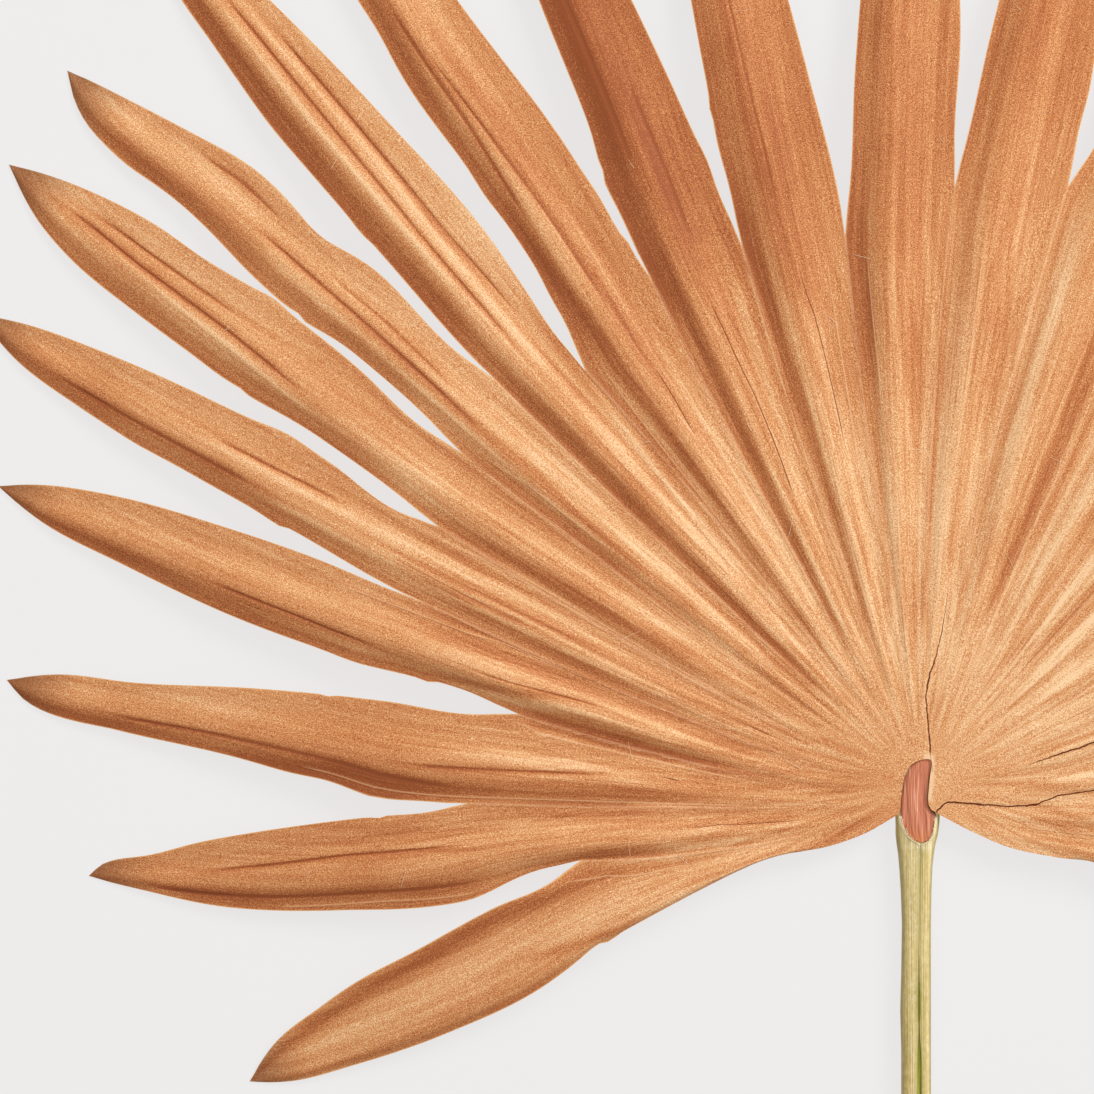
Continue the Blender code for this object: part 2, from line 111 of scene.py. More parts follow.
# ---- what marks the segments: left half and middle --------------------------------------
# bands are painted shade (strength below 0) and painted highlight (above 0) along the pleats; the
# same tone also raises and lowers the blade's relief
# Along runs 0 at the hub, 1 at the notch, 2 at the tip; across runs 0 to 1 from left to right.
# bands: segment, strength, half width as a share of the segment, ((along, across), ...)
BANDS = (
    (0, -0.7, 0.1, ((0.98, 0.88), (1.3, 0.9), (1.7, 0.84), (1.95, 0.75))),
    (0, -0.45, 0.05, ((0.98, 0.04), (1.1, 0.15), (1.25, 0.35))),
    (0, 0.35, 0.2, ((1.05, 0.4), (1.5, 0.45), (1.8, 0.45))),
    (0, -0.35, 0.06, ((1.2, 0.02), (1.6, 0.04), (1.9, 0.15))),
    (0, 0.3, 0.15, ((0.85, 0.2), (1, 0.25))), (0, -0.4, 0.1, ((0.75, 0.85), (0.95, 0.9))),
    (1, -0.5, 0.07, ((1.2, 0.14), (1.4, 0.2), (1.65, 0.18), (1.85, 0.2))),
    (1, -0.6, 0.12, ((1.65, 0.15), (1.9, 0.25))),
    (1, -0.5, 0.03, ((1.12, 0.44), (1.25, 0.58), (1.4, 0.62), (1.7, 0.55))),
    (1, -0.4, 0.025, ((1.1, 0.72), (1.25, 0.8), (1.35, 0.76))),
    (1, 0.4, 0.05, ((1.15, 0.55), (1.3, 0.66), (1.45, 0.68))),
    (1, 0.4, 0.04, ((1.2, 0.42), (1.35, 0.46))),
    (1, -0.5, 0.12, ((0.75, 0.12), (0.9, 0.15), (1, 0.12))),
    (1, -0.35, 0.08, ((0.6, 0.88), (0.8, 0.9), (1, 0.92))),
    (1, 0.3, 0.12, ((0.7, 0.55), (1, 0.6))),
    (2, -0.55, 0.1, ((0.45, 0.22), (0.7, 0.25), (0.95, 0.22), (1.15, 0.15), (1.3, 0.2))),
    (2, -0.5, 0.08, ((1.3, 0.1), (1.45, 0.08))),
    (2, -0.45, 0.05, ((1.1, 0.18), (1.35, 0.26), (1.6, 0.28), (1.75, 0.27))),
    (2, 0.35, 0.05, ((1.35, 0.16), (1.5, 0.2))),
    (2, 0.55, 0.08, ((0.6, 0.45), (0.8, 0.55), (1, 0.55), (1.1, 0.55))),
    (2, -0.5, 0.04, ((0.75, 0.52), (0.85, 0.47), (1, 0.42), (1.15, 0.35))),
    (2, -0.45, 0.06, ((0.5, 0.95), (0.8, 0.96), (1, 0.96))),
    (2, 0.35, 0.2, ((1.5, 0.7), (1.9, 0.65))), (2, -0.45, 0.15, ((1.8, 0.15), (1.95, 0.2))),
    (3, -0.55, 0.09, ((0.45, 0.06), (0.8, 0.08), (1, 0.06))),
    (3, 0.6, 0.06, ((0.6, 0.33), (0.8, 0.3), (1, 0.14), (1.1, 0.06))),
    (3, -0.55, 0.04, ((0.75, 0.48), (0.9, 0.36), (1.05, 0.2), (1.15, 0.08))),
    (3, 0.6, 0.08, ((0.45, 0.52), (0.7, 0.55), (0.9, 0.55), (1.1, 0.45))),
    (3, -0.4, 0.1, ((0.7, 0.78), (0.9, 0.72), (1.1, 0.68))),
    (3, -0.55, 0.05, ((0.8, 1), (0.98, 0.93), (1.05, 0.9))),
    (3, -0.5, 0.05, ((1.25, 0.24), (1.4, 0.28), (1.55, 0.3))),
    (3, 0.4, 0.05, ((1.2, 0.12), (1.4, 0.18))), (3, -0.45, 0.12, ((1.65, 0.2), (1.9, 0.2))),
    (3, 0.3, 0.12, ((1.3, 0.55), (1.8, 0.7))),
    (4, -0.4, 0.06, ((0.6, 0.15), (0.85, 0.18), (1, 0.12))),
    (4, -0.45, 0.03, ((0.8, 0.36), (1, 0.3), (1.1, 0.22))),
    (4, 0.6, 0.05, ((0.5, 0.38), (0.8, 0.4), (1, 0.35), (1.2, 0.25), (1.35, 0.22))),
    (4, -0.4, 0.025, ((0.7, 0.5), (0.95, 0.48), (1.15, 0.42))),
    (4, 0.6, 0.08, ((0.6, 0.7), (0.8, 0.74), (1, 0.62), (1.2, 0.55), (1.45, 0.5))),
    (4, -0.45, 0.05, ((0.75, 0.9), (1, 0.78), (1.1, 0.8))),
    (4, -0.55, 0.05, ((1.4, 0.28), (1.6, 0.27), (1.8, 0.26))),
    (4, -0.4, 0.04, ((1.25, 0.62), (1.35, 0.58), (1.45, 0.57))),
    (4, -0.3, 0.15, ((1.7, 0.3), (1.95, 0.3))),
    (5, -0.6, 0.1, ((0.45, 0.3), (0.6, 0.27), (0.8, 0.2), (1, 0.08))),
    (5, 0.6, 0.1, ((0.3, 0.58), (0.5, 0.62), (0.7, 0.6), (0.85, 0.55), (1, 0.45), (1.15, 0.3))),
    (5, -0.4, 0.03, ((0.85, 0.5), (1, 0.4), (1.15, 0.28))),
    (5, -0.6, 0.05, ((1.35, 0.38), (1.5, 0.45), (1.7, 0.48), (1.85, 0.56))),
    (5, 0.4, 0.06, ((1.3, 0.22), (1.5, 0.32), (1.75, 0.42))),
    (5, -0.35, 0.03, ((1.5, 0.66), (1.7, 0.68), (1.8, 0.72))),
    (5, -0.35, 0.07, ((0.6, 0.85), (0.9, 0.85), (1.2, 0.88))),
    (5, 0.35, 0.05, ((1.6, 0.8), (1.9, 0.9))),
    (6, -0.45, 0.08, ((0.6, 0.1), (0.8, 0.1), (1, 0.06))),
    (6, -0.3, 0.06, ((0.6, 0.35), (0.8, 0.35), (0.95, 0.45))),
    (6, 0.7, 0.12, ((0.3, 0.55), (0.5, 0.6), (0.75, 0.65), (1, 0.62))),
    (6, -0.6, 0.06, ((1.05, 0.38), (1.2, 0.42), (1.4, 0.46), (1.5, 0.48))),
    (6, 0.4, 0.06, ((1.1, 0.22), (1.3, 0.28), (1.5, 0.38))),
    (6, -0.5, 0.15, ((1.55, 0.3), (1.75, 0.2), (1.9, 0.25))),
    (6, 0.45, 0.12, ((1.6, 0.6), (1.8, 0.55), (1.9, 0.75))),
    (6, -0.3, 0.05, ((1.55, 0.78), (1.65, 0.82))),
    (7, -0.65, 0.14, ((0.3, 0.14), (0.6, 0.15), (0.9, 0.13), (1.2, 0.12), (1.6, 0.15), (2, 0.2))),
    (7, 0.3, 0.05, ((1.2, 0.38), (1.5, 0.36), (1.8, 0.37))),
    (7, -0.5, 0.04, ((1.1, 0.48), (1.3, 0.45), (1.55, 0.5), (1.8, 0.55))),
    (7, 0.3, 0.05, ((1, 0.58), (1.25, 0.58), (1.5, 0.62), (1.75, 0.66))),
    (7, -0.5, 0.04, ((1.15, 0.75), (1.3, 0.65), (1.5, 0.72), (1.7, 0.76))),
    (7, -0.5, 0.08, ((1.02, 0.92), (1.12, 0.95))),
    (7, 0.5, 0.1, ((0.4, 0.5), (0.7, 0.55), (0.95, 0.6))),
    (7, 0.65, 0.04, ((0.3, 0.6), (0.5, 0.7), (0.75, 0.8), (1, 0.91))),
    (7, -0.35, 0.04, ((0.5, 0.9), (0.9, 0.97))),
    (8, -0.65, 0.08, ((0.3, 0.15), (0.6, 0.2), (0.85, 0.24), (1.05, 0.22), (1.2, 0.12))),
    (8, 0.45, 0.08, ((0.3, 0.45), (0.6, 0.5), (0.8, 0.48))),
    (8, 0.5, 0.04, ((0.35, 0.7), (0.65, 0.74), (0.95, 0.73))),
    (8, -0.45, 0.12, ((1.05, 0.08), (1.3, 0.1), (1.6, 0.12), (1.9, 0.2))),
    (8, -0.4, 0.04, ((1.05, 0.52), (1.2, 0.48), (1.35, 0.42), (1.5, 0.35))),
    (8, -0.45, 0.04, ((1.25, 0.25), (1.4, 0.3), (1.6, 0.28), (1.9, 0.3))),
    (8, 0.4, 0.05, ((1.35, 0.18), (1.5, 0.22))),
    (8, -0.35, 0.06, ((1.1, 0.75), (1.3, 0.62), (1.5, 0.5))),
    (8, 0.25, 0.12, ((1.2, 0.8), (1.8, 0.8))),
    (9, -0.65, 0.12, ((0.3, 0.12), (0.6, 0.18), (0.85, 0.2), (1.05, 0.12))),
    (9, 0.4, 0.07, ((0.45, 0.65), (0.7, 0.78), (0.95, 0.82))),
    (9, -0.5, 0.06, ((1.2, 0.3), (1.35, 0.3), (1.5, 0.28), (1.9, 0.3))),
    (9, -0.4, 0.05, ((1.08, 0.5), (1.2, 0.52), (1.3, 0.5))),
    (9, -0.5, 0.1, ((1.15, 0.1), (1.3, 0.2), (1.5, 0.2))),
    (10, -0.6, 0.08, ((0.3, 0.22), (0.6, 0.18), (0.9, 0.12), (1.05, 0.08))),
    (10, 0.3, 0.06, ((0.35, 0.6), (0.65, 0.62))),
    (10, -0.35, 0.05, ((1.02, 0.4), (1.2, 0.32), (1.45, 0.28), (1.9, 0.3))),
    (10, -0.25, 0.04, ((1, 0.52), (1.3, 0.5))),
    (11, -0.45, 0.07, ((0.5, 0.12), (0.8, 0.12), (1.05, 0.1))),
    (11, -0.35, 0.15, ((0.6, 0.75), (0.8, 0.7))),
    (11, -0.2, 0.05, ((1.1, 0.25), (1.4, 0.2), (1.9, 0.25))),
    (12, -0.35, 0.15, ((0.6, 0.8), (0.8, 0.72))), (12, -0.3, 0.05, ((1.2, 0.45), (1.4, 0.45))),
    (12, -0.3, 0.04, ((1.2, 0.1), (1.5, 0.12), (1.9, 0.2))),
)
# creases: segment, column they follow, ((along, across), ...). A crack is a thin sunken line
# painted dark with shade, a vein thin and raised, a groove a broader sunken valley painted darker
# with shade and a fold a broader crest painted lighter with highlight.
CREASES = {
    "vein": (
        (0, 0.76, ((0.72, 0.7), (0.92, 0.74), (1.02, 0.84), (1.07, 0.93))),
        (1, 0.08, ((1.22, 0.05), (1.4, 0.09), (1.62, 0.05))),
        (2, 0.08,
         ((0.35, 0.08), (0.6, 0.1), (0.9, 0.09), (1.1, 0.07), (1.25, 0.09), (1.36, 0.11))),
        (2, 0.89, ((0.4, 0.84), (0.7, 0.88), (0.95, 0.88), (1.02, 0.94))),
        (3, 0.89, ((0.7, 0.97), (0.85, 0.94), (0.98, 0.84), (1.1, 0.82), (1.25, 0.8))),
        (4, 0.94, ((0.84, 0.985), (0.93, 0.94), (1, 0.89))),
        (5, 0.08, ((0.45, 0.06), (0.7, 0.06), (0.86, 0.03))),
        (6, 0.2, ((0.7, 0.24), (0.9, 0.22), (1, 0.12))),
        (8, 0.08, ((0.5, 0.03), (0.8, 0.07), (1, 0.11))),
        (10, 0.27, ((0.22, 0.24), (0.38, 0.29), (0.54, 0.33))),
        (10, 0.76, ((0.55, 0.78), (0.75, 0.79), (0.96, 0.79))),
        (11, 0.34, ((0.18, 0.24), (0.32, 0.3), (0.5, 0.36))),
        (11, 0.14, ((0.68, 0.21), (0.85, 0.18), (1, 0.16))),
        (12, 0.2, ((0.46, 0.2), (0.6, 0.17), (0.8, 0.15))),
        (12, 0.34, ((0.5, 0.38), (0.7, 0.36), (0.95, 0.32))),
    ),
    "crack": (
        (1, 0.48,
         ((0.28, 0.5), (0.36, 0.52), (0.42, 0.5), (0.47, 0.53), (0.52, 0.48), (0.56, 0.5))),
        (2, 0.55, ((0.36, 0.58), (0.42, 0.53), (0.46, 0.51), (0.52, 0.55), (0.58, 0.6))),
        (4, 0.48, ((0.24, 0.48), (0.29, 0.52), (0.34, 0.5))),
        (8, 0.55, ((0.7, 0.5), (0.78, 0.51), (0.86, 0.55), (0.93, 0.54))),
        (9, 0.55,
         ((0.53, 0.51), (0.62, 0.55), (0.74, 0.55), (0.84, 0.51), (0.92, 0.5), (0.99, 0.47))),
        (10, 0.55, ((0.6, 0.6), (0.78, 0.58), (0.9, 0.55), (0.95, 0.51), (1.01, 0.49))),
        (15, 0.48, ((0.5, 0.5), (0.62, 0.46), (0.75, 0.5))),
        (18, 0.55, ((0.55, 0.55), (0.7, 0.58), (0.8, 0.55))),
    ),
    "groove": (
        (1, 0.17, ((1.2, 0.14), (1.4, 0.2), (1.65, 0.18), (1.85, 0.2))),
        (1, 0.61, ((1.15, 0.54), (1.25, 0.58), (1.4, 0.62), (1.7, 0.57))),
        (2, 0.25, ((1.1, 0.18), (1.35, 0.26), (1.6, 0.28), (1.75, 0.27))),
        (2, 0.44, ((0.75, 0.5), (0.85, 0.47), (1, 0.42), (1.15, 0.36))),
        (3, 0.25, ((1.25, 0.24), (1.4, 0.28), (1.55, 0.3))),
        (3, 0.4, ((0.72, 0.48), (0.9, 0.4), (1.05, 0.34))),
        (4, 0.25, ((1.4, 0.28), (1.6, 0.27), (1.8, 0.26))),
        (4, 0.35, ((0.8, 0.38), (0.95, 0.34), (1.1, 0.32))),
        (4, 0.61, ((1.22, 0.64), (1.35, 0.59), (1.47, 0.57))),
        (5, 0.44, ((1.35, 0.38), (1.5, 0.45), (1.7, 0.48), (1.85, 0.56))),
        (5, 0.71, ((1.5, 0.66), (1.7, 0.68), (1.8, 0.72))),
        (6, 0.4, ((1.05, 0.38), (1.2, 0.42), (1.4, 0.46), (1.52, 0.48))),
        (6, 0.61, ((1.12, 0.58), (1.24, 0.62), (1.36, 0.62))),
        (6, 0.81, ((1.52, 0.78), (1.62, 0.82), (1.7, 0.8))),
        (7, 0.48, ((1.1, 0.48), (1.3, 0.46), (1.55, 0.5), (1.8, 0.55))),
        (7, 0.71, ((1.15, 0.74), (1.3, 0.69), (1.5, 0.72), (1.7, 0.76))),
        (8, 0.25, ((1.25, 0.25), (1.4, 0.29), (1.6, 0.28))),
        (8, 0.44, ((1.08, 0.47), (1.2, 0.45), (1.35, 0.41), (1.5, 0.36))),
        (9, 0.3, ((1.2, 0.3), (1.35, 0.3), (1.5, 0.28))),
        (9, 0.61, ((1.08, 0.57), (1.2, 0.59), (1.3, 0.58))),
        (10, 0.4, ((1.1, 0.42), (1.25, 0.4), (1.45, 0.38))),
    ),
    "fold": (
        (5, 0.3, ((1.3, 0.22), (1.5, 0.32), (1.75, 0.42))),
        (7, 0.35, ((1.2, 0.38), (1.5, 0.36), (1.8, 0.4))),
        (7, 0.61, ((1.05, 0.6), (1.25, 0.58), (1.5, 0.62), (1.75, 0.66))),
    ),
}
HALF_WIDTH = {"crack": 0.33, "vein": 0.33, "groove": 0.9, "fold": 0.9}   # mm
CREASE_RISE = {"vein": 0.16, "fold": 0.25, "crack": -0.12, "groove": -0.35}   # mm
# bright bands are painted highlight
PAINTED_HIGHLIGHT_SHARE = 0.80   # bright bands count for this much of their strength
# small steps in the free edges: segment, side (0 left, 1 right), along, depth and reach in mm
NICKS = (
    (0, 0, 1.06, 1.2, 5), (1, 1, 1.226, 0.6, 2), (2, 1, 1.36, 0.8, 1.6), (2, 0, 1.2, -0.4, 8),
    (3, 0, 1.16, -0.8, 3), (4, 0, 1.3, -0.9, 6), (5, 0, 1.42, 0.6, 5), (6, 0, 1.38, 1, 4),
    (7, 0, 1.33, -0.6, 4), (8, 1, 1.05, -0.9, 3), (9, 0, 1.18, 0.8, 3), (10, 0, 1.22, -0.6, 3),
    (13, 1, 1.2, 0.8, 3), (16, 0, 1.3, 0.9, 3.5), (18, 1, 1.25, -0.8, 4), (20, 0, 1.2, 0.8, 2.5),
    (22, 1, 1.4, 0.9, 3),
)
# soft bulges of the free edges: segment, side, how far from notch to tip, outward and reach, mm
WAVES = (
    (0, 1, 0.62, 0.9, 10), (1, 0, 0.22, 0.7, 7), (1, 1, 0.96, 1.4, 6), (1, 1, 0.84, -1, 7),
    (2, 0, 0.18, 1, 6), (2, 0, 0.3, -1, 6), (2, 0, 0.96, 1.5, 6), (3, 0, 0.3, 0.7, 6),
    (4, 1, 0.35, 1, 6), (4, 0, 0.62, 0.4, 7), (5, 0, 0.42, 1, 10), (5, 1, 0.45, 0.9, 4),
    (5, 1, 0.6, -1.3, 10), (5, 0, 0.78, 0.7, 8), (6, 0, 0.38, 1.3, 7), (6, 0, 0.6, -1.3, 12),
    (6, 0, 0.8, 1.8, 9), (6, 0, 0.94, 1.6, 8), (6, 1, 0.43, -1.8, 7), (6, 1, 0.61, 2.2, 12),
    (6, 1, 0.3, 0.7, 7), (7, 0, 0.58, 0.6, 10), (7, 1, 0.14, 0.6, 8), (8, 0, 0.12, 0.7, 5),
    (8, 0, 0.3, 0.9, 6), (8, 0, 0.6, -1, 8), (8, 1, 0.15, 0.7, 6), (9, 0, 0.18, 1.5, 7),
    (9, 1, 0.15, 0.8, 5), (10, 0, 0.17, 0.7, 7),
)
# long cracks that cross pleats: points in millimetres from the hub, and how open each is
CRACKS = (
    (((3, 4), (2.6, 8.2), (1.2, 25.5), (0.6, 30.3), (2.7, 33.3), (6.9, 50.1), (8.1, 65.4)),
     (1, 1, 0.9, 0.7, 0.8, 0.5, 0.1)),
    (((-7.8, 69.3), (-6.3, 54), (-4.2, 37.8), (-3, 30.3)), (0.05, 0.22, 0.3, 0.05)),
    (((4.6, -7.9), (5.6, -6.4), (8.4, -5), (15.3, -5.6), (24.6, -6.3), (33.6, -6.2), (41.4, -3),
      (51.6, -1.5), (66, 0.2)), (1, 1, 1, 1, 0.9, 0.9, 0.9, 0.8, 0.1)),
    (((30, 5.4), (41.4, 9.3), (51.6, 12.9), (60, 15.5)), (0.1, 0.9, 1, 0.2)),
)
# broad light and dark over the fan: strength, angle and spread in degrees, then the radii in
# mm between which it comes in and goes out
SHADES = (
    (-0.26, 99, 19, 110, 190, 900, 999), (0.34, 137, 16, 150, 190, 900, 999),
    (-0.62, 114, 5, 150, 200, 900, 999), (0.28, 74, 9, 110, 150, 170, 215),
    (0.18, 200, 6, 0, 1, 900, 999), (0.25, 124, 4, 170, 210, 900, 999),
)
# where the columns of a segment stand across it, before its creases take their own
ACROSS = (
    0, 0.02, 0.05, 0.09, 0.13, 0.17, 0.21, 0.25, 0.3, 0.35, 0.4, 0.44, 0.48, 0.52, 0.56, 0.61,
    0.66, 0.71, 0.76, 0.81, 0.86, 0.9, 0.94, 0.97, 0.985, 1,
)
PLAIN_FROM, PLAIN_COLUMNS = 14, 20   # segments from here on have this many even columns
ROWS_IN, ROWS_OUT = 24, 50   # rows from hub to notch, and from notch to tip
CREASE_GAP = 0.012   # a crease takes three columns this far apart
LEAST_FACES = 50000   # the blade has far more; fewer means that a step lost some
FIBRES = 90   # loose hairs on the blade
FULLER = 0.28   # the blade's edge stands this much outside its plain outline, mm
PEAK, FALL = 0.33, 0.47   # share of a pleat where it is highest, and over which it comes down

# ---- core and stalk: millimetres from the hub ------------------------------------------
# y, left edge and right edge of the core
CORE = (
    (-17.3, -0.8, 0.6), (-16.9, -2.4, 2), (-15.4, -4.1, 3.2), (-12, -5.9, 3.8), (-9, -6.3, 4.1),
    (-7.9, -6.3, 3.2), (-6.8, -6.3, 2.2), (-3.8, -6.1, 1.9), (0, -5.4, 2.2), (2.6, -5.1, 2.5),
    (5.6, -3.6, 3.2), (7.2, -1.6, 3.1), (8.2, 1, 2.6),
)
# ridges of the core: where across, half width, height, waviness
RIDGES = (
    (0.14, 0.035, 0.16, 0.2), (0.27, 0.03, 0.22, 0.15), (0.40, 0.025, 0.12, 0.3),
    (0.53, 0.035, 0.24, 0.1), (0.66, 0.02, 0.14, 0.25), (0.78, 0.03, 0.2, 0.2),
    (0.90, 0.025, 0.12, 0.2),
)
# y, centre x, half width, underside, top
STALK = (
    (48, -1.6, 0.5, 6.6, 7.1), (30, -1.5, 2.2, 4.2, 7.15), (14, -1.3, 4, 1.6, 7.2),
    (6, -1.2, 5.8, 0.5, 7.2), (-4, -1.1, 6.5, 0, 7.2), (-9.2, -1.1, 6.75, 0, 7.25),
    (-9.9, -1.1, 6.7, 0, 8), (-12, -1.15, 6.6, 0, 8.35), (-15, -1.35, 6.4, 0, 8.3),
    (-18, -1.55, 5.85, 0, 8), (-21, -1.55, 5.4, 0, 7.7), (-25, -1.6, 5, 0, 7.5),
    (-32, -1.5, 4.65, 0, 7.3), (-42, -1.4, 4.4, 0, 7.2), (-56, -1.5, 4.5, 0, 7.2),
    (-68, -1.65, 4.65, 0, 7.2), (-80, -1.5, 4.5, 0, 7.2), (-110, -1.5, 4.5, 0, 7.2),
    (-165, -1.2, 4.6, 0, 7.3), (-236, -0.6, 5, 0, 7.6),
)
# y, left and right lip and depth of the opening: the mouth, then the closed groove, then the
# slit
OPENING = (
    (9, 0.4, 2.8, 1), (5.6, -3.8, 3.2, 2), (0, -5.3, 2.6, 2.2), (-9, -6.3, 4.3, 2.4),
    (-12, -5.9, 3.9, 3), (-15.3, -4.1, 3.3, 2.8), (-16.8, -2.4, 2.1, 2), (-17.5, -0.9, 0.9, 0.8),
    (-18.2, -0.45, 0, 0.05), (-30, -0.5, -0.35, 0), (-51, -0.85, -0.7, 0),
    (-53, -0.92, -0.66, 0.5), (-58.5, -0.98, -0.6, 0.6), (-62, -1.18, -0.36, 0.7),
    (-69, -1.15, -0.36, 0.7), (-72.5, -0.9, -0.6, 0.6), (-76, -0.95, -0.45, 0.6),
    (-80, -1.2, -0.15, 0.8), (-84, -1.25, 0.05, 0.9), (-93, -1.2, 0, 0.9),
    (-120, -1.2, -0.1, 0.9), (-160, -0.9, 0.1, 0.8), (-205, -0.4, 0.1, 0.5), (-218, -0.15, 0, 0),
    (-236, -0.1, 0.05, 0),
)
STALK_TOP, STALK_UNDER = 64, 32   # columns over the stalk's top, and round underneath
# the stalk's rows: from y, to y, how many
STALK_ROWS = ((48.0, -8.0, 24), (-8.0, -19.0, 55), (-19.0, -100.0, 109), (-100.0, -236.0, 48))


def rgb(red, green, blue):
    """Linear colour of a screen colour out of 255."""
    def linear(c):
        c /= 255
        return c / 12.92 if c <= 0.04045 else ((c + 0.055) / 1.055) ** 2.4

    return (linear(red), linear(green), linear(blue))


# colours that the looks are mixed from, besides those a user may change
TINTS = {name: rgb(*screen) for name, screen in {
    # rim is a painted glow of light through the blade's free edges
    "blade deepest": (146, 80, 47), "blade bright": (222, 173, 124), "rim": (240, 190, 128),
    "rib": (236, 188, 148), "tip": (112, 62, 38), "vein": (238, 192, 148),
    # the two crack colours are painted shade in the cracks' gaps
    "crack line shade": (104, 38, 16), "lip": (236, 184, 130), "crack": (92, 26, 10),
    "heart": (240, 206, 166), "underside": (190, 138, 96),
    "cut": (228, 172, 108), "cut pale": (244, 204, 150),
    "core deep": (150, 82, 60), "core dark": (186, 114, 84), "core pale": (236, 176, 146),
    # of these two, the second is painted shadow along the core's sides
    "core low": (205, 128, 82), "core side shadow": (128, 68, 48),
    "stalk deep": (158, 140, 82), "stalk dark": (188, 168, 104), "stalk light": (222, 206, 150),
    "stalk pale": (232, 222, 182), "stalk warm": (212, 172, 98), "wax": (220, 215, 190),
    # flank is painted shade for the stalk's rounded sides
    "olive": (148, 136, 76), "flank": (146, 132, 84), "green": (136, 142, 46),
    "green light": (186, 196, 78), "ragged": (228, 219, 182), "frayed": (236, 230, 206),
    "fibre": (236, 200, 160), "fibre pale": (250, 228, 196),
}.items()}


class LeafSizes(bpy.types.PropertyGroup):
    """Sizes of the leaf's finish that a user may change."""

    lamina: FloatProperty(
        name="Lamina", description="Thickness of the blade", default=0.00045, unit="LENGTH"
    )
    pleat: FloatProperty(
        name="Pleat height", description="Height of a pleat as a share of its width",
        default=0.085, subtype="FACTOR", min=0.0, max=0.2,
    )
    relief: FloatProperty(
        name="Band relief", description="Height of the folds along the bands",
        default=0.00045, unit="LENGTH",
    )
    fibre: FloatProperty(
        name="Fibre", description="Radius of the stray fibres", default=0.00007, unit="LENGTH"
    )


class LeafColours(bpy.types.PropertyGroup):
    """Colours of the leaf's finishes."""

    dark: FloatVectorProperty(
        name="Blade dark", description="Deep bands of the blade", subtype="COLOR",
        default=rgb(172, 101, 60),
    )
    middle: FloatVectorProperty(
        name="Blade", description="Main colour of the blade", subtype="COLOR",
        default=rgb(203, 138, 88),
    )
    light: FloatVectorProperty(
        name="Blade light", description="Bright bands of the blade", subtype="COLOR",
        default=rgb(239, 203, 161),
    )
    core: FloatVectorProperty(
        name="Core", description="Fibrous core", subtype="COLOR", default=rgb(200, 124, 94)
    )
    stalk: FloatVectorProperty(
        name="Stalk", description="Straw stalk", subtype="COLOR", default=rgb(205, 186, 130)
    )


class StageLook(bpy.types.PropertyGroup):
    """Light and floor."""

    key: FloatProperty(
        name="Key light", description="Power of the main soft light", default=36.0, unit="POWER"
    )
    fill: FloatProperty(
        name="Fill light", description="Power of the overhead light", default=13.5, unit="POWER"
    )
    floor: FloatVectorProperty(
        name="Floor", description="Colour of the floor", subtype="COLOR",
        default=rgb(231, 230, 230),
    )


class Value:
    """A shader socket that arithmetic can be written on."""

    def __init__(self, shade, socket):
        self.shade, self.socket = shade, socket


def arithmetic(operation, turned=False):
    """An operator of Value: a math node of its two sides, the other one first if turned."""
    def operator(self, other):
        return self.shade.math(operation, *((other, self) if turned else (self, other)))

    return operator


for sign, operation in (
    ("add", "ADD"), ("sub", "SUBTRACT"), ("mul", "MULTIPLY"), ("truediv", "DIVIDE"),
):
    setattr(Value, f"__{sign}__", arithmetic(operation))
    setattr(Value, f"__r{sign}__", arithmetic(operation, turned=True))


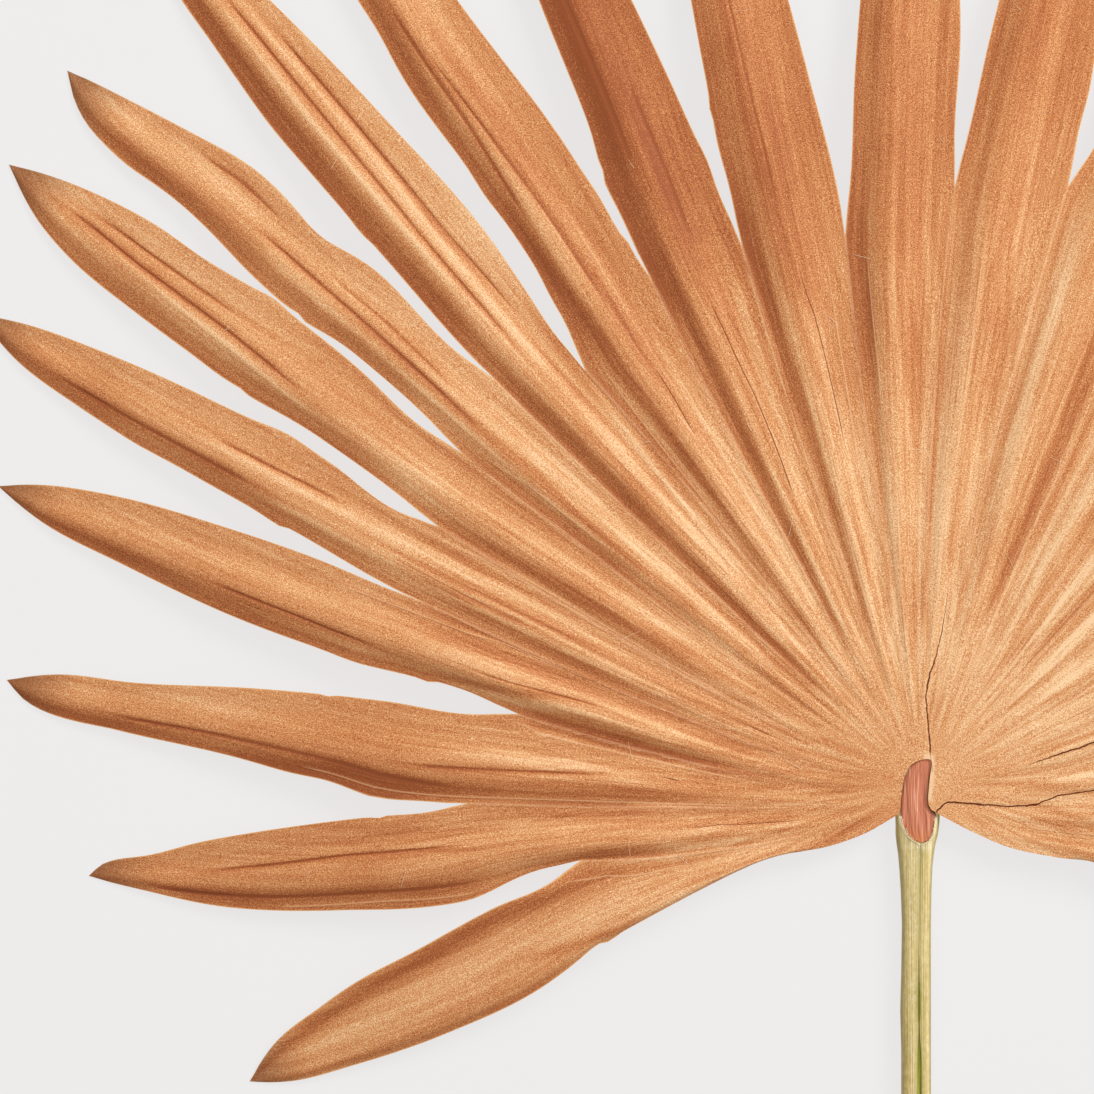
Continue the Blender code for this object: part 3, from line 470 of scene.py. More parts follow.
class Shade:
    """Builds one procedural material around a Principled shader."""

    def __init__(self, name, roughness, specular):
        self.material = bpy.data.materials.new(name)
        self.material.use_nodes = True
        self.tree = self.material.node_tree
        self.surface = self.tree.nodes["Principled BSDF"]
        self.surface.inputs["Roughness"].default_value = roughness
        self.surface.inputs["Specular IOR Level"].default_value = specular

    def node(self, kind, settings=None, values=(), output=0):
        """Adds a node, its settings first, then the values or links of its sockets."""
        made = self.tree.nodes.new(kind)
        for key, setting in (settings or {}).items():
            setattr(made, key, setting)
        pairs = values.items() if isinstance(values, dict) else enumerate(values)
        for key, value in pairs:
            self.feed(made.inputs[key], value)
        return Value(self, made.outputs[output])

    def feed(self, socket, value):
        if isinstance(value, Value):
            self.tree.links.new(value.socket, socket)
        elif isinstance(value, tuple) and len(value) == 3 and socket.type == "RGBA":
            socket.default_value = (*value, 1.0)
        else:
            socket.default_value = value

    def xy(self, vector):
        """The first two numbers of a vector."""
        return [self.node("ShaderNodeSeparateXYZ", None, [vector], output=i) for i in (0, 1)]

    def uv(self, layer):
        """The two numbers of one of the piece's UV layers."""
        return self.xy(self.node("ShaderNodeUVMap", {"uv_map": layer}))

    def place(self):
        return self.node("ShaderNodeTexCoord", output="Object")

    def noise(self, at, scale=1.0, detail=2.0, rough=0.5, twist=0.0):
        """Noise between 0 and 1 at a vector, or at up to three numbers."""
        if isinstance(at, tuple):
            at = self.node("ShaderNodeCombineXYZ", None, at)
        return self.node("ShaderNodeTexNoise", None, {
            "Vector": at, "Scale": scale, "Detail": detail, "Roughness": rough,
            "Distortion": twist,
        })

    def math(self, operation, *values):
        return self.node("ShaderNodeMath", {"operation": operation}, values)

    def rise(self, value, low, high):
        """0 below low, 1 above high, and smooth between."""
        return self.node(
            "ShaderNodeMapRange", {"interpolation_type": "SMOOTHSTEP"},
            {"Value": value, "From Min": low, "From Max": high, "To Min": 0.0, "To Max": 1.0},
        )

    def fall(self, value, low, high):
        return 1.0 - self.rise(value, low, high)

    def ramp(self, value, stops):
        """A colour ramp of (place, colour) stops."""
        made = self.node("ShaderNodeValToRGB", None, [value])
        elements = made.socket.node.color_ramp.elements
        while len(elements) < len(stops):
            elements.new(0.5)
        for element, (at, colour) in zip(elements, stops):
            element.position, element.color = at, (*colour, 1.0)
        return made

    def mix(self, share, first, second):
        return self.node(
            "ShaderNodeMix", {"data_type": "RGBA"}, {0: share, 6: first, 7: second}, output=2
        )

    def over(self, colour, *layers):
        """The colour with layers of (share, colour) laid over it in turn."""
        for share, other in layers:
            colour = self.mix(share, colour, other)
        return colour

    def finish(self, height=None, distance=None, strength=1.0, **sockets):
        """Feeds the shader its sockets, and its normal from a bump if a height is given."""
        if height is not None:
            sockets["Normal"] = self.node("ShaderNodeBump", None, {
                "Height": height, "Distance": distance, "Strength": strength,
            })
        for name, value in sockets.items():
            self.feed(self.surface.inputs[name.replace("_", " ")], value)
        return self.material


# ---- meshes ---------------------------------------------------------------------------
def pick(*objects):
    """Selects these objects and no others, and makes the first one active."""
    for other in bpy.context.selected_objects:
        other.select_set(False)
    for obj in objects:
        obj.select_set(True)
    bpy.context.view_layer.objects.active = objects[0]


def read(items, field, width=1, kind=np.float32):
    """One field of all the items of a mesh, as an array."""
    flat = np.empty(len(items) * width, kind)
    items.foreach_get(field, flat)
    return flat.reshape(-1, width) if width > 1 else flat


def new_grid(name, shape):
    """A grid primitive with this many corners up and across, and where each of them stands."""
    rows, columns = shape[0] - 1, shape[1] - 1
    bpy.ops.mesh.primitive_grid_add(x_subdivisions=columns, y_subdivisions=rows, size=2)
    obj = bpy.context.object
    obj.name = obj.data.name = name
    corner = read(obj.data.vertices, "co", 3)
    column = np.rint((corner[:, 0] + 1) / 2 * columns).astype(int)
    row = np.rint((corner[:, 1] + 1) / 2 * rows).astype(int)
    return obj, (row, column)


def set_places(obj, at, x, y, z):
    """Moves the corners to the places these arrays hold, in millimetres from the hub."""
    places = (np.dstack(np.broadcast_arrays(x, y, z))[at] + HUB) * MM
    obj.data.vertices.foreach_set("co", places.astype(np.float32).ravel())
    obj.data.update()


def set_layer(obj, at, name, first, second, scale=1.0):
    """A UV layer that holds two numbers of each corner, from these arrays."""
    layer = obj.data.uv_layers.get(name) or obj.data.uv_layers.new(name=name)
    pairs = np.dstack(np.broadcast_arrays(first, second))[at] * scale
    corner = read(obj.data.loops, "vertex_index", kind=np.int32)
    layer.data.foreach_set("uv", pairs.astype(np.float32)[corner].ravel())


def coat(obj, *materials):
    """Gives the piece these materials and no others."""
    obj.data.materials.clear()
    for material in materials:
        obj.data.materials.append(material)


def merge(obj, distance, outward=False, fill=False):
    """Merges doubles in edit mode, and if asked fills open ends and turns the faces outward."""
    pick(obj)
    bpy.ops.object.mode_set(mode="EDIT")
    bpy.ops.mesh.select_all(action="SELECT")
    bpy.ops.mesh.remove_doubles(threshold=distance)
    if fill:
        bpy.ops.mesh.fill_holes(sides=0)
        bpy.ops.mesh.select_all(action="SELECT")
    if outward:
        bpy.ops.mesh.normals_make_consistent(inside=False)
    bpy.ops.object.mode_set(mode="OBJECT")


def thicken(obj, thickness, offset, **settings):
    """Applies a Solidify modifier."""
    pick(obj)
    made = obj.modifiers.new("Solidify", "SOLIDIFY")
    made.thickness, made.offset = thickness, offset
    for key, value in settings.items():
        setattr(made, key, value)
    bpy.ops.object.modifier_apply(modifier=made.name)


def smooth(obj, angle):
    pick(obj)
    bpy.ops.object.shade_smooth_by_angle(angle=math.radians(angle))


def curve_through(stations, values, at):
    """A smooth curve through points, read at an array of places."""
    x, y = np.asarray(stations, float), np.asarray(values, float)
    slope = np.gradient(y, x)
    k = np.clip(np.searchsorted(x, at, "right") - 1, 0, len(x) - 2)
    span = x[k + 1] - x[k]
    f = np.clip((at - x[k]) / span, 0, 1)
    return (
        y[k] * (2 * f**3 - 3 * f**2 + 1) + slope[k] * span * (f**3 - 2 * f**2 + f)
        + y[k + 1] * (3 * f**2 - 2 * f**3) + slope[k + 1] * span * (f**3 - f**2)
    )


def bell(x):
    return np.exp(-0.5 * x * x)


def ease(x, low, high):
    """0 below low, 1 above high, and smooth between."""
    f = np.clip((x - low) / (high - low), 0, 1)
    return f * f * (3 - 2 * f)


def held(x, start, before, whole, end):
    """0 outside start to end and 1 in between, easing over before, whole, and back."""
    (a, b), (c, d) = (start - before, start + whole), (end - whole, end + before)
    return ease(x, a, b) * (1 - ease(x, c, d))


# ---- blade ------------------------------------------------------------------------------
def polar(angle, radius):
    turn = np.radians(angle)
    return np.stack((radius * np.cos(turn), radius * np.sin(turn)), -1)


def pleat_line(index, share):
    """The line between two segments, from the hub to the notch."""
    if index in (0, len(LINES) - 1):
        points = np.array(LOW_LEFT if index == 0 else LOW_RIGHT, float)
        at = np.linspace(0, 1, len(points))
        return np.stack([curve_through(at, points[:, i], share) for i in (0, 1)], -1)
    start, (angle, radius), bow = LINES[index]
    start, end = np.array(start, float), polar(angle, radius)
    way = (end - start) / np.linalg.norm(end - start)
    side = np.array((-way[1], way[0])) * bow
    return start + (end - start) * share[:, None] + side * (4 * share * (1 - share))[:, None]


def free_edge(segment, side, share):
    """A segment's left (0) or right (1) edge from the notch to the tip."""
    (notch, near), (tip, far) = LINES[segment + side][1], TIPS[segment]
    twin = len(TIPS) - 1 - segment
    if segment < len(EDGES):
        inner = EDGES[segment][side]
    else:
        inner = [tip + TIPS[twin][0] - a for a in EDGES[twin][1 - side]]
    angle = curve_through(STEPS, (notch, *inner, tip), share)
    radius = near + (far - near) * share
    out = FULLER * ease(share, 0, 0.05) * (1 - ease(share, 0.95, 1.0))
    for where, which, at, swell, reach in WAVES:
        if (where, which) in ((segment, side), (twin, 1 - side)):
            wave = swell * bell((share - at) * (far - near) / reach)
            out = out + wave * (1 - ease(share, 0.97, 1.0))
    outward = 1 if side == 0 else -1
    angle = angle + np.degrees(out / radius) * outward
    for where, which, along, depth, reach in NICKS:
        if (where, which) == (segment, side):
            off = (share - (along - 1)) * (far - near) / reach
            step = depth * bell(off) * (1 + np.tanh(6 * off)) / 2
            angle = angle - np.degrees(step / radius) * outward
    return polar(angle, radius)


def calmed(line):
    """A line of the grid with its kinks smoothed out and its ends kept."""
    n, out = len(line), line.copy()
    index = np.arange(n)
    for i in range(n):
        spread = min(7.0, 0.4 * min(i, n - 1 - i)) + 1e-3
        weight = bell((index - i) / spread)
        out[i] = (line * weight[:, None]).sum(0) / weight.sum()
    return out


def crack_field(place):
    """Signed distance from the nearest crack in millimetres, and how open the crack is there."""
    reach, past_end, far = 6, 0.6, 1e9
    best = np.full(place.shape[:-1], far)
    away, opened = np.full_like(best, reach), np.zeros_like(best)
    for points, widths in CRACKS:
        points = np.array(points, float)
        for k in range(len(points) - 1):
            run = points[k + 1] - points[k]
            size = np.linalg.norm(run)
            run = run / size
            off = place - points[k]
            t = off @ run
            side = off[..., 0] * -run[1] + off[..., 1] * run[0]
            gap = np.linalg.norm(off - np.clip(t, 0, size)[..., None] * run, axis=-1)
            closer = gap < best
            best = np.where(closer, gap, best)
            inside = (t > (-past_end if k == 0 else -far)) & (
                t < (size + past_end if k == len(points) - 2 else far)
            )
            here = np.interp(t / size, (0, 1), (widths[k], widths[k + 1])) * inside
            signed = np.copysign(np.where(inside, gap, np.abs(side)), side)
            away = np.where(closer, signed, away)
            opened = np.where(closer, here * (gap < reach), opened)
    return np.clip(away, -reach, reach), opened


def reach_at(angle):
    """Radius of the blade's outline through the tips."""
    return np.interp(-angle, [-t[0] for t in TIPS], [t[1] for t in TIPS])


def band_list(segment):
    """The bands of a segment. The right half borrows the left half's, turned over."""
    if segment <= BANDS[-1][0]:
        return [band[1:] for band in BANDS if band[0] == segment]
    twin = len(TIPS) - 1 - segment
    return [
        (strength, half, tuple((v, 1 - u) for v, u in way))
        for where, strength, half, way in BANDS if where == twin
    ]


def lay_columns(segment, along, width):
    """How far across each column runs, row by row, and how much of each crease it is."""
    creases = [
        (kind, anchor, way) for kind, rows in CREASES.items()
        for where, anchor, way in rows if where == segment
    ]
    base = list(ACROSS if segment < PLAIN_FROM else np.linspace(0, 1, PLAIN_COLUMNS))
    for kind, anchor, way in creases:
        base.remove(min((b for b in base if 0 < b < 1), key=lambda b: abs(b - anchor)))
    columns = sorted(
        [(b, None, 0, None) for b in base]
        + [(a + d * CREASE_GAP, kind, d, way) for kind, a, way in creases for d in (-1, 0, 1)],
        key=lambda c: c[0],
    )
    knots = [(0.0, np.zeros_like(along)), (1.0, np.ones_like(along))]
    for kind, anchor, way in creases:
        knots.append((anchor, np.interp(along, *zip(*way))))
    knots.sort(key=lambda k: k[0])
    across = np.empty((len(along), len(columns)))
    for i in range(len(along)):
        stops, there = [k[0] for k in knots], [k[1][i] for k in knots]
        for j, (base_u, kind, side, way) in enumerate(columns):
            across[i, j] = np.interp(base_u - side * CREASE_GAP, stops, there)
            across[i, j] += side * HALF_WIDTH.get(kind, 0.0) / max(width[i], 4.0)
    across = np.clip(np.maximum.accumulate(across, axis=1), 0, 1)
    line = {kind: np.zeros_like(across) for kind in HALF_WIDTH}
    for j, (base_u, kind, side, way) in enumerate(columns):
        if side == 0 and kind:
            line[kind][:, j] = held(along, way[0][0], 0.02, 0.03, way[-1][0])
    return across, line


def painted_band_shading(segment, along, across):
    """The bands' painted shade and highlight: flat-topped inside the notches, softer outside
    them.
    """
    tone = np.zeros_like(across)
    soft = ease(along, 0.95, 1.3)
    for strength, half, way in band_list(segment):
        centre = np.interp(along, *zip(*way))
        off = (across - centre) / half
        shape = (1 - soft) * bell((off / 0.87) ** 2) + soft * bell(off / 0.8)
        window = held(along, way[0][0], 0.12, 0.08, way[-1][0])
        tone += strength * (PAINTED_HIGHLIGHT_SHARE if strength > 0 else 1.0) * shape * window
    return tone


def pleat_arch(segment, along, across):
    """Height of the pleat across the segment, 0 to 1."""
    if segment == 0:
        curl = ease(across, 0.7, 1.0) * ease(along, 1.0, 1.15)
        near = across < 0.12
        return np.where(near, ease(across, 0, 0.12), 1 - ease(across, 0.12, 0.75)) + 0.9 * curl
    if segment >= PLAIN_FROM:
        across = 1 - across
    rise = np.sin(np.pi / 2 * np.clip(across / PEAK, 0, 1)) ** 2
    fall = np.cos(np.pi / 2 * np.clip((across - PEAK) / FALL, 0, 1)) ** 2
    return np.where(across < PEAK, rise, fall)


def blade_rise(s, sizes):
    """Height of the blade over the floor in millimetres: dome, pleat, folds and ripples."""
    fade = np.clip((s.radius - 12) / 70, 0, 1)   # the pleats start flat by the hub
    share = np.clip(s.radius / reach_at(s.angle), 0, 1)
    high = curve_through(DOME_AT, DOME_Z, share)
    high = high + sizes.pleat * s.width * pleat_arch(s.segment, s.along, s.across) * fade
    middle = np.sin(np.pi * s.across)
    lively = np.clip(s.width / 20, 0, 1) * fade * middle ** 0.5   # no relief where narrow
    high += s.tone * sizes.relief / MM * lively
    wave = np.sin(s.along * 9 + s.segment * 1.7) * middle
    high += 0.25 * wave * ease(s.radius, 60, 140) * lively
    high += sum(rise * s.line[kind] for kind, rise in CREASE_RISE.items())
    # a rib stands along each pleat line as far as the notch
    rib = bell(s.across * s.width / 0.5) + bell((1 - s.across) * s.width / 0.5)
    high += 0.16 * rib * ease(s.radius, 22, 60) * (s.along < 1.001)
    # two ripples inside the notches, fine crimps round the hub, and the cracks' raised side
    inward = lively * (1 - ease(s.along, 0.8, 1.3))
    phase = s.segment * 2.4
    high += 0.09 * np.sin(s.across * 20 + phase) * inward * np.sin(s.along * 3 + phase) ** 2
    high += (
        0.07 * np.sin(s.across * 33 + phase * 1.7) * inward * np.cos(s.along * 4 + phase) ** 2
    )
    turn = np.radians(s.angle)
    crimp = (
        np.sin(turn * 41 + 0.9) * 0.5 + np.sin(turn * 67 + s.radius * 0.05) * 0.35
        + np.sin(turn * 97 + 2.0) * 0.25
    )
    high += 0.13 * crimp * ease(s.radius, 12, 34) * (1 - ease(s.radius, 60, 110))
    step = np.clip(s.away / 0.6, -1, 1) * np.exp(-np.abs(s.away) / 2.5)
    high += 0.30 * s.opened * step * ease(s.radius, 8, 14)
    return np.maximum(high, 0.0)


def blade_tint(s):
    """How much lighter or darker the blade is than its main colour, painted shade and highlight
    included.
    """
    tint = s.tone + 0.35 * ease(90 - s.angle, 15, 60) * bell((s.radius - 90) / 70)
    # painted highlight along the folds' crests and painted shade in the grooves
    tint += 0.30 * s.line["fold"] - 0.80 * s.line["groove"]
    for strength, at, spread, low, whole, fading, gone in SHADES:
        there = ease(s.radius, low, whole) * (1 - ease(s.radius, fading, gone))
        tint += strength * bell((s.angle - at) / spread) * there
    # the side turned from the light: a thin dark line, and a broad flank on the lower left
    if s.segment > 0:
        tint -= 0.28 * (1 - ease(s.across, 0.02, 0.15)) * ease(s.radius, 50, 100)
    if 2 <= s.segment <= 8:
        tint -= 0.34 * (1 - ease(s.across, 0.14, 0.34)) * ease(s.along, 1.0, 1.2)
    return tint


def segment_grid(segment, sizes):
    """One segment of the blade with its layers, as an object."""
    inner = (np.arange(ROWS_IN + 1) / ROWS_IN) ** 1.25
    outer = (np.arange(1, ROWS_OUT + 1) / ROWS_OUT) ** 0.97
    along = np.concatenate((inner, 1 + outer))
    left, right = (
        np.concatenate((pleat_line(segment + side, inner), free_edge(segment, side, outer)))
        for side in (0, 1)
    )
    width = np.linalg.norm(right - left, axis=1)
    across, line = lay_columns(segment, along, width)
    along, width = along[:, None], width[:, None]
    s = SimpleNamespace(segment=segment, along=along, across=across, width=width, line=line)
    s.tone = painted_band_shading(segment, along, across)

    # the columns inside run between calmed edges; only the outermost follow each nick
    calm_left, calm_right = calmed(left), calmed(right)
    place = calm_left[:, None, :] + (calm_right - calm_left)[:, None, :] * across[..., None]
    for exact, calm, far in ((left, calm_left, across), (right, calm_right, 1 - across)):
        place += (exact - calm)[:, None, :] * ((1 - far) ** 6)[..., None]
    s.radius = np.linalg.norm(place, axis=-1)
    angle = np.degrees(np.arctan2(place[..., 1], place[..., 0]))
    s.angle = np.where(angle < -90, angle + 360, angle)
    s.away, s.opened = crack_field(place)

    obj, at = new_grid(f"segment_{segment}", across.shape)
    set_places(obj, at, place[..., 0], place[..., 1], blade_rise(s, sizes))
    from_left, raised = across * width, line["vein"] - line["crack"]
    set_layer(obj, at, "UVMap", from_left + 70 * segment, s.radius, 0.001)
    set_layer(obj, at, "edges", from_left, (1 - across) * width, 0.01)
    set_layer(obj, at, "where", across + segment, along / 2)
    set_layer(obj, at, "cracks", s.away, s.opened, 0.1)
    # the bands layer carries the blade's tint, most of it painted shade and highlight, and how
    # raised a vein or sunken a crack is
    set_layer(obj, at, "bands", 0.5 + blade_tint(s) / 4, 0.5 + raised / 2)
    return obj


def blade_look(name, colours, under=False):
    """Satin copper-brown leaf: bands of painted shade and highlight, a painted sheen, fine woven
    grain, pale edges with a painted glow of light, and dark tips.
    """
    shade = Shade(name, roughness=0.5, specular=0.07)
    rise, fall, noise = shade.rise, shade.fall, shade.noise
    # the layers hold small numbers: back to mm, and along to 0 at the hub and 2 at the tip
    x, y = (value * 1000.0 for value in shade.uv("UVMap"))
    edge = shade.math("MINIMUM", *shade.uv("edges")) * 100.0
    across, along = shade.uv("where")
    along = along * 2.0
    # band holds the blade's tint with the painted shade and highlight of the pleats; line tells
    # veins from cracks
    band, line = shade.uv("bands")
    away, opened = shade.uv("cracks")
    place = shade.place()
    spread = rise(y, 12.0, 75.0)

    # streaks along the segment, patches, the weave of crossed fibres, crimps by the hub
    long_streak = noise((x * 0.42, y * 0.016), detail=3.0, rough=0.55)
    fine_streak = noise((x * 1.5, y * 0.022, 4.0), rough=0.6)
    hair_streak = noise((x * 4.2, y * 0.05, 9.0), detail=1.0)
    patch = noise(place, scale=16.0)
    blot = noise(place, scale=70.0, detail=3.0, rough=0.6)
    weave = noise(place, scale=3400.0, detail=0.0)
    apart = shade.node("ShaderNodeVectorMath", {"operation": "SUBTRACT"}, [
        place, tuple(HUB * MM),
    ])
    turn = shade.math("ARCTAN2", *shade.xy(apart))
    crimp = noise((turn * 15.0, y * 0.03, 6.0), detail=3.0, rough=0.65, twist=0.25)
    crimped = rise(y, 8.0, 24.0) * fall(y, 45.0, 110.0)
    ply = noise(((x + y) * 2.4, (x - y) * 0.9, 2.0), detail=1.0, rough=0.7)
    warp = noise(((x + y) * 0.9, (x - y) * 2.4, 7.0), detail=1.0, rough=0.7)
    fold = noise((across * 7.0, along, 3.0), detail=3.0, rough=0.62, twist=0.15)
    strand = noise((across * 21.0, along * 1.8, 8.0), rough=0.6)
    ridge = 1.0 - shade.math("ABSOLUTE", strand - 0.5) * 9.0
    inward = rise(y, 20.0, 50.0) * (1.0 - rise(along, 0.85, 1.45) * 0.7)
    # a painted sheen: a soft pool of painted light over the middle of the fan, above the hub
    painted_sheen = fall(shade.node("ShaderNodeVectorMath", {"operation": "DISTANCE"}, [
        place, ((HUB[0] - 6) * MM, (HUB[1] + 68) * MM, 0.009),
    ], output="Value"), 0.012, 0.085)
    streaks = (long_streak - 0.5) * 0.45 + (fine_streak - 0.5) * 0.30
    tone = (
        0.54 + (band - 0.5) * 1.95 + streaks * (0.25 + spread * 0.75) + (patch - 0.5) * 0.34
        + (blot - 0.5) * 0.18 + (weave - 0.5) * 1.1 + (ply + warp - 1.0) * 0.40 + painted_sheen * 0.17
        - rise(along, 0.85, 1.35) * 0.07 + (crimp - 0.5) * crimped * 1.1
        + ((fold - 0.5) * 0.85 + (strand - 0.5) * 0.22 + rise(ridge, 0.4, 1.0) * 0.10 - 0.02)
        * inward
    )
    colour = shade.ramp(tone, (
        (0.0, TINTS["blade deepest"]), (0.22, colours.dark), (0.55, colours.middle),
        (0.80, TINTS["blade bright"]), (1.0, colours.light),
    ))

    # a painted glow of light through the free edges, pale ribs, dark tips, veins, and cracks
    # painted dark with shade
    free = rise(along, 0.97, 1.03)
    rib = fall(edge, 0.15, 0.75) * rise(y, 30.0, 80.0) * rise(fine_streak, 0.35, 0.6)
    tip = rise(along + (patch - 0.5) * 0.16, 1.84, 2.0)
    # the long cracks are painted dark with the shade in their gaps, and paler along their raised
    # side
    away = away + (noise(place, scale=420.0) - 0.5) * 0.09
    gap = shade.math("ABSOLUTE", away) * 10.0 / (opened * 2.6 + 0.001)
    is_open = rise(opened, 0.012, 0.05)
    crack = fall(gap, 0.5, 1.3) * is_open
    lip = fall(gap, 1.2, 3.6) * is_open * rise(away, 0.0, 0.01)
    heart = fall(along, 0.005, 0.014) * rise(across, 11.9, 12.1) * fall(across, 20, 21)
    colour = shade.over(
        colour, (fall(edge, 0.10, 0.42) * free * 0.55, TINTS["rim"]),
        (rib * (1.0 - free) * 0.30, TINTS["rib"]), (tip * 0.68, TINTS["tip"]),
        (rise(line, 0.55, 0.95) * 0.42, TINTS["vein"]),
        (fall(line, 0.08, 0.42), TINTS["crack line shade"]), (lip * 0.35, TINTS["lip"]),
        (crack * 0.95, TINTS["crack"]), (heart * 0.7, TINTS["heart"]),
    )
    if under:
        colour = shade.mix(0.35, colour, TINTS["underside"])
    wrinkle = noise(place, scale=160.0, detail=3.0, rough=0.6, twist=0.6)
    return shade.finish(
        Base_Color=colour,
        Roughness=0.46 + (fine_streak - 0.5) * 0.2 + (weave - 0.5) * 0.2,
        height=(
            fine_streak * 0.45 + hair_streak * 0.3 + ply * 0.35 + weave * 0.35
            + fold * inward * 1.4 + strand * inward * 0.3 + crimp * crimped * 1.2
            + wrinkle * (0.75 - spread * 0.4) - crack * 1.6
        ),
        distance=0.0003, strength=0.5,
    )


def fleck_look(name, roughness, specular, scale, detail, first, second):
    """Two colours mixed by a fine noise: the blade's cut edge and the stray fibres."""
    shade = Shade(name, roughness, specular)
    fleck = shade.noise(shade.place(), scale, detail)
    return shade.finish(Base_Color=shade.mix(fleck, TINTS[first], TINTS[second]))


class PALM_OT_blade(bpy.types.Operator):
    """Build the pleated blade from its segments"""

    bl_idname = "palm.blade"
    bl_label = "Blade"

    def execute(self, context):
        sizes, colours = context.scene.palm_sizes, context.scene.palm_colours
        pick(*[segment_grid(i, sizes) for i in range(len(TIPS))])
        bpy.ops.object.join()
        obj = bpy.context.object
        obj.name = obj.data.name = "leaf_blade"
        merge(obj, 2e-6)
        coat(
            obj, blade_look("blade_top", colours),
            blade_look("blade_underside", colours, under=True),
            fleck_look("blade_edge", 0.55, 0.2, 400.0, 2.0, "cut", "cut pale"),
        )
        face_up = read(obj.data.polygons, "normal", 3)[:, 2].mean() > 0
        top, underside, rim = range(3)   # the materials' places in the list
        thicken(
            obj, sizes.lamina, 1.0 if face_up else -1.0,
            material_offset=underside, material_offset_rim=rim,
        )
        # Solidify gives the first material to the shell that stays, which lies underneath
        down = read(obj.data.polygons, "normal", 3)[:, 2] < 0
        kind = read(obj.data.polygons, "material_index", kind=np.int32)
        kind = np.where(kind == rim, rim, np.where(down, underside, top)).astype(np.int32)
        obj.data.polygons.foreach_set("material_index", kind)
        smooth(obj, 50)
        if len(obj.data.polygons) < LEAST_FACES:
            raise RuntimeError("the blade lost faces")
        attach(obj, "root")
        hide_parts("blade")
        return {"FINISHED"}


# ---- core ---------------------------------------------------------------------------------
def core_look(colours):
    """Reddish fibres, light and dark, along the core, with painted shadow along its sides."""
    shade = Shade("core_fibres", roughness=0.6, specular=0.25)
    x, y = shade.xy(shade.place())
    wide = shade.noise((x * 900.0, y * 40.0), rough=0.6, twist=0.3)
    thin = shade.noise((x * 2600.0, y * 90.0, 3.0))
    colour = shade.ramp(0.47 + (wide - 0.5) * 2.0 + (thin - 0.5) * 1.2, (
        (0.0, TINTS["core deep"]), (0.35, TINTS["core dark"]), (0.6, colours.core),
        (1.0, TINTS["core pale"]),
    ))
    low = shade.fall(y, (HUB[1] - 16.5) * MM, (HUB[1] - 12.5) * MM)
    # painted shadow darkens the core along both of its long sides
    side = shade.uv("UVMap")[0]
    rim = shade.fall(shade.math("MINIMUM", side, 1.0 - side), 0.0, 0.09)
    colour = shade.over(colour, (low * 0.6, TINTS["core low"]), (rim * 0.5, TINTS["core side shadow"]))
    return shade.finish(wide * 0.7 + thin * 0.4, 0.0004, 0.8, Base_Color=colour)


class PALM_OT_core(bpy.types.Operator):
    """Build the fibrous core in the mouth of the stalk's collar"""

    bl_idname = "palm.core"
    bl_label = "Core"

    def execute(self, context):
        columns, rows = 36, 70
        stations, left, right = np.array(CORE).T
        y = np.linspace(stations[0], stations[-1], rows + 1)[:, None]
        left, right = np.interp(y, stations, left), np.interp(y, stations, right)
        u = np.linspace(0, 1, columns + 1)
        x = left + (right - left) * u
        crown = np.sin(np.pi * u) ** 0.6
        ridges = sum(
            high * bell((u - at - 0.03 * np.sin(y * wavy + at * 9)) / half)
            for at, half, high, wavy in RIDGES
        )
        z = 6.55 + 0.75 * crown + ridges * crown + 0.25 * ease(y, -17.3, -13.0) - 0.15
        z = z + 0.06 * np.sin(x * 7 + y * 0.4)
        obj, at = new_grid("leaf_core", z.shape)
        set_places(obj, at, x, y, z)
        set_layer(obj, at, "UVMap", u, (y + 20) / 30)
        merge(obj, 1e-6, outward=True)
        if obj.data.polygons[len(obj.data.polygons) // 2].normal.z < 0:
            obj.data.flip_normals()
        coat(obj, core_look(context.scene.palm_colours))
        thicken(obj, 0.0013, -1.0)
        smooth(obj, 60)
        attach(obj, "root")
        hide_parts("hastula")
        return {"FINISHED"}


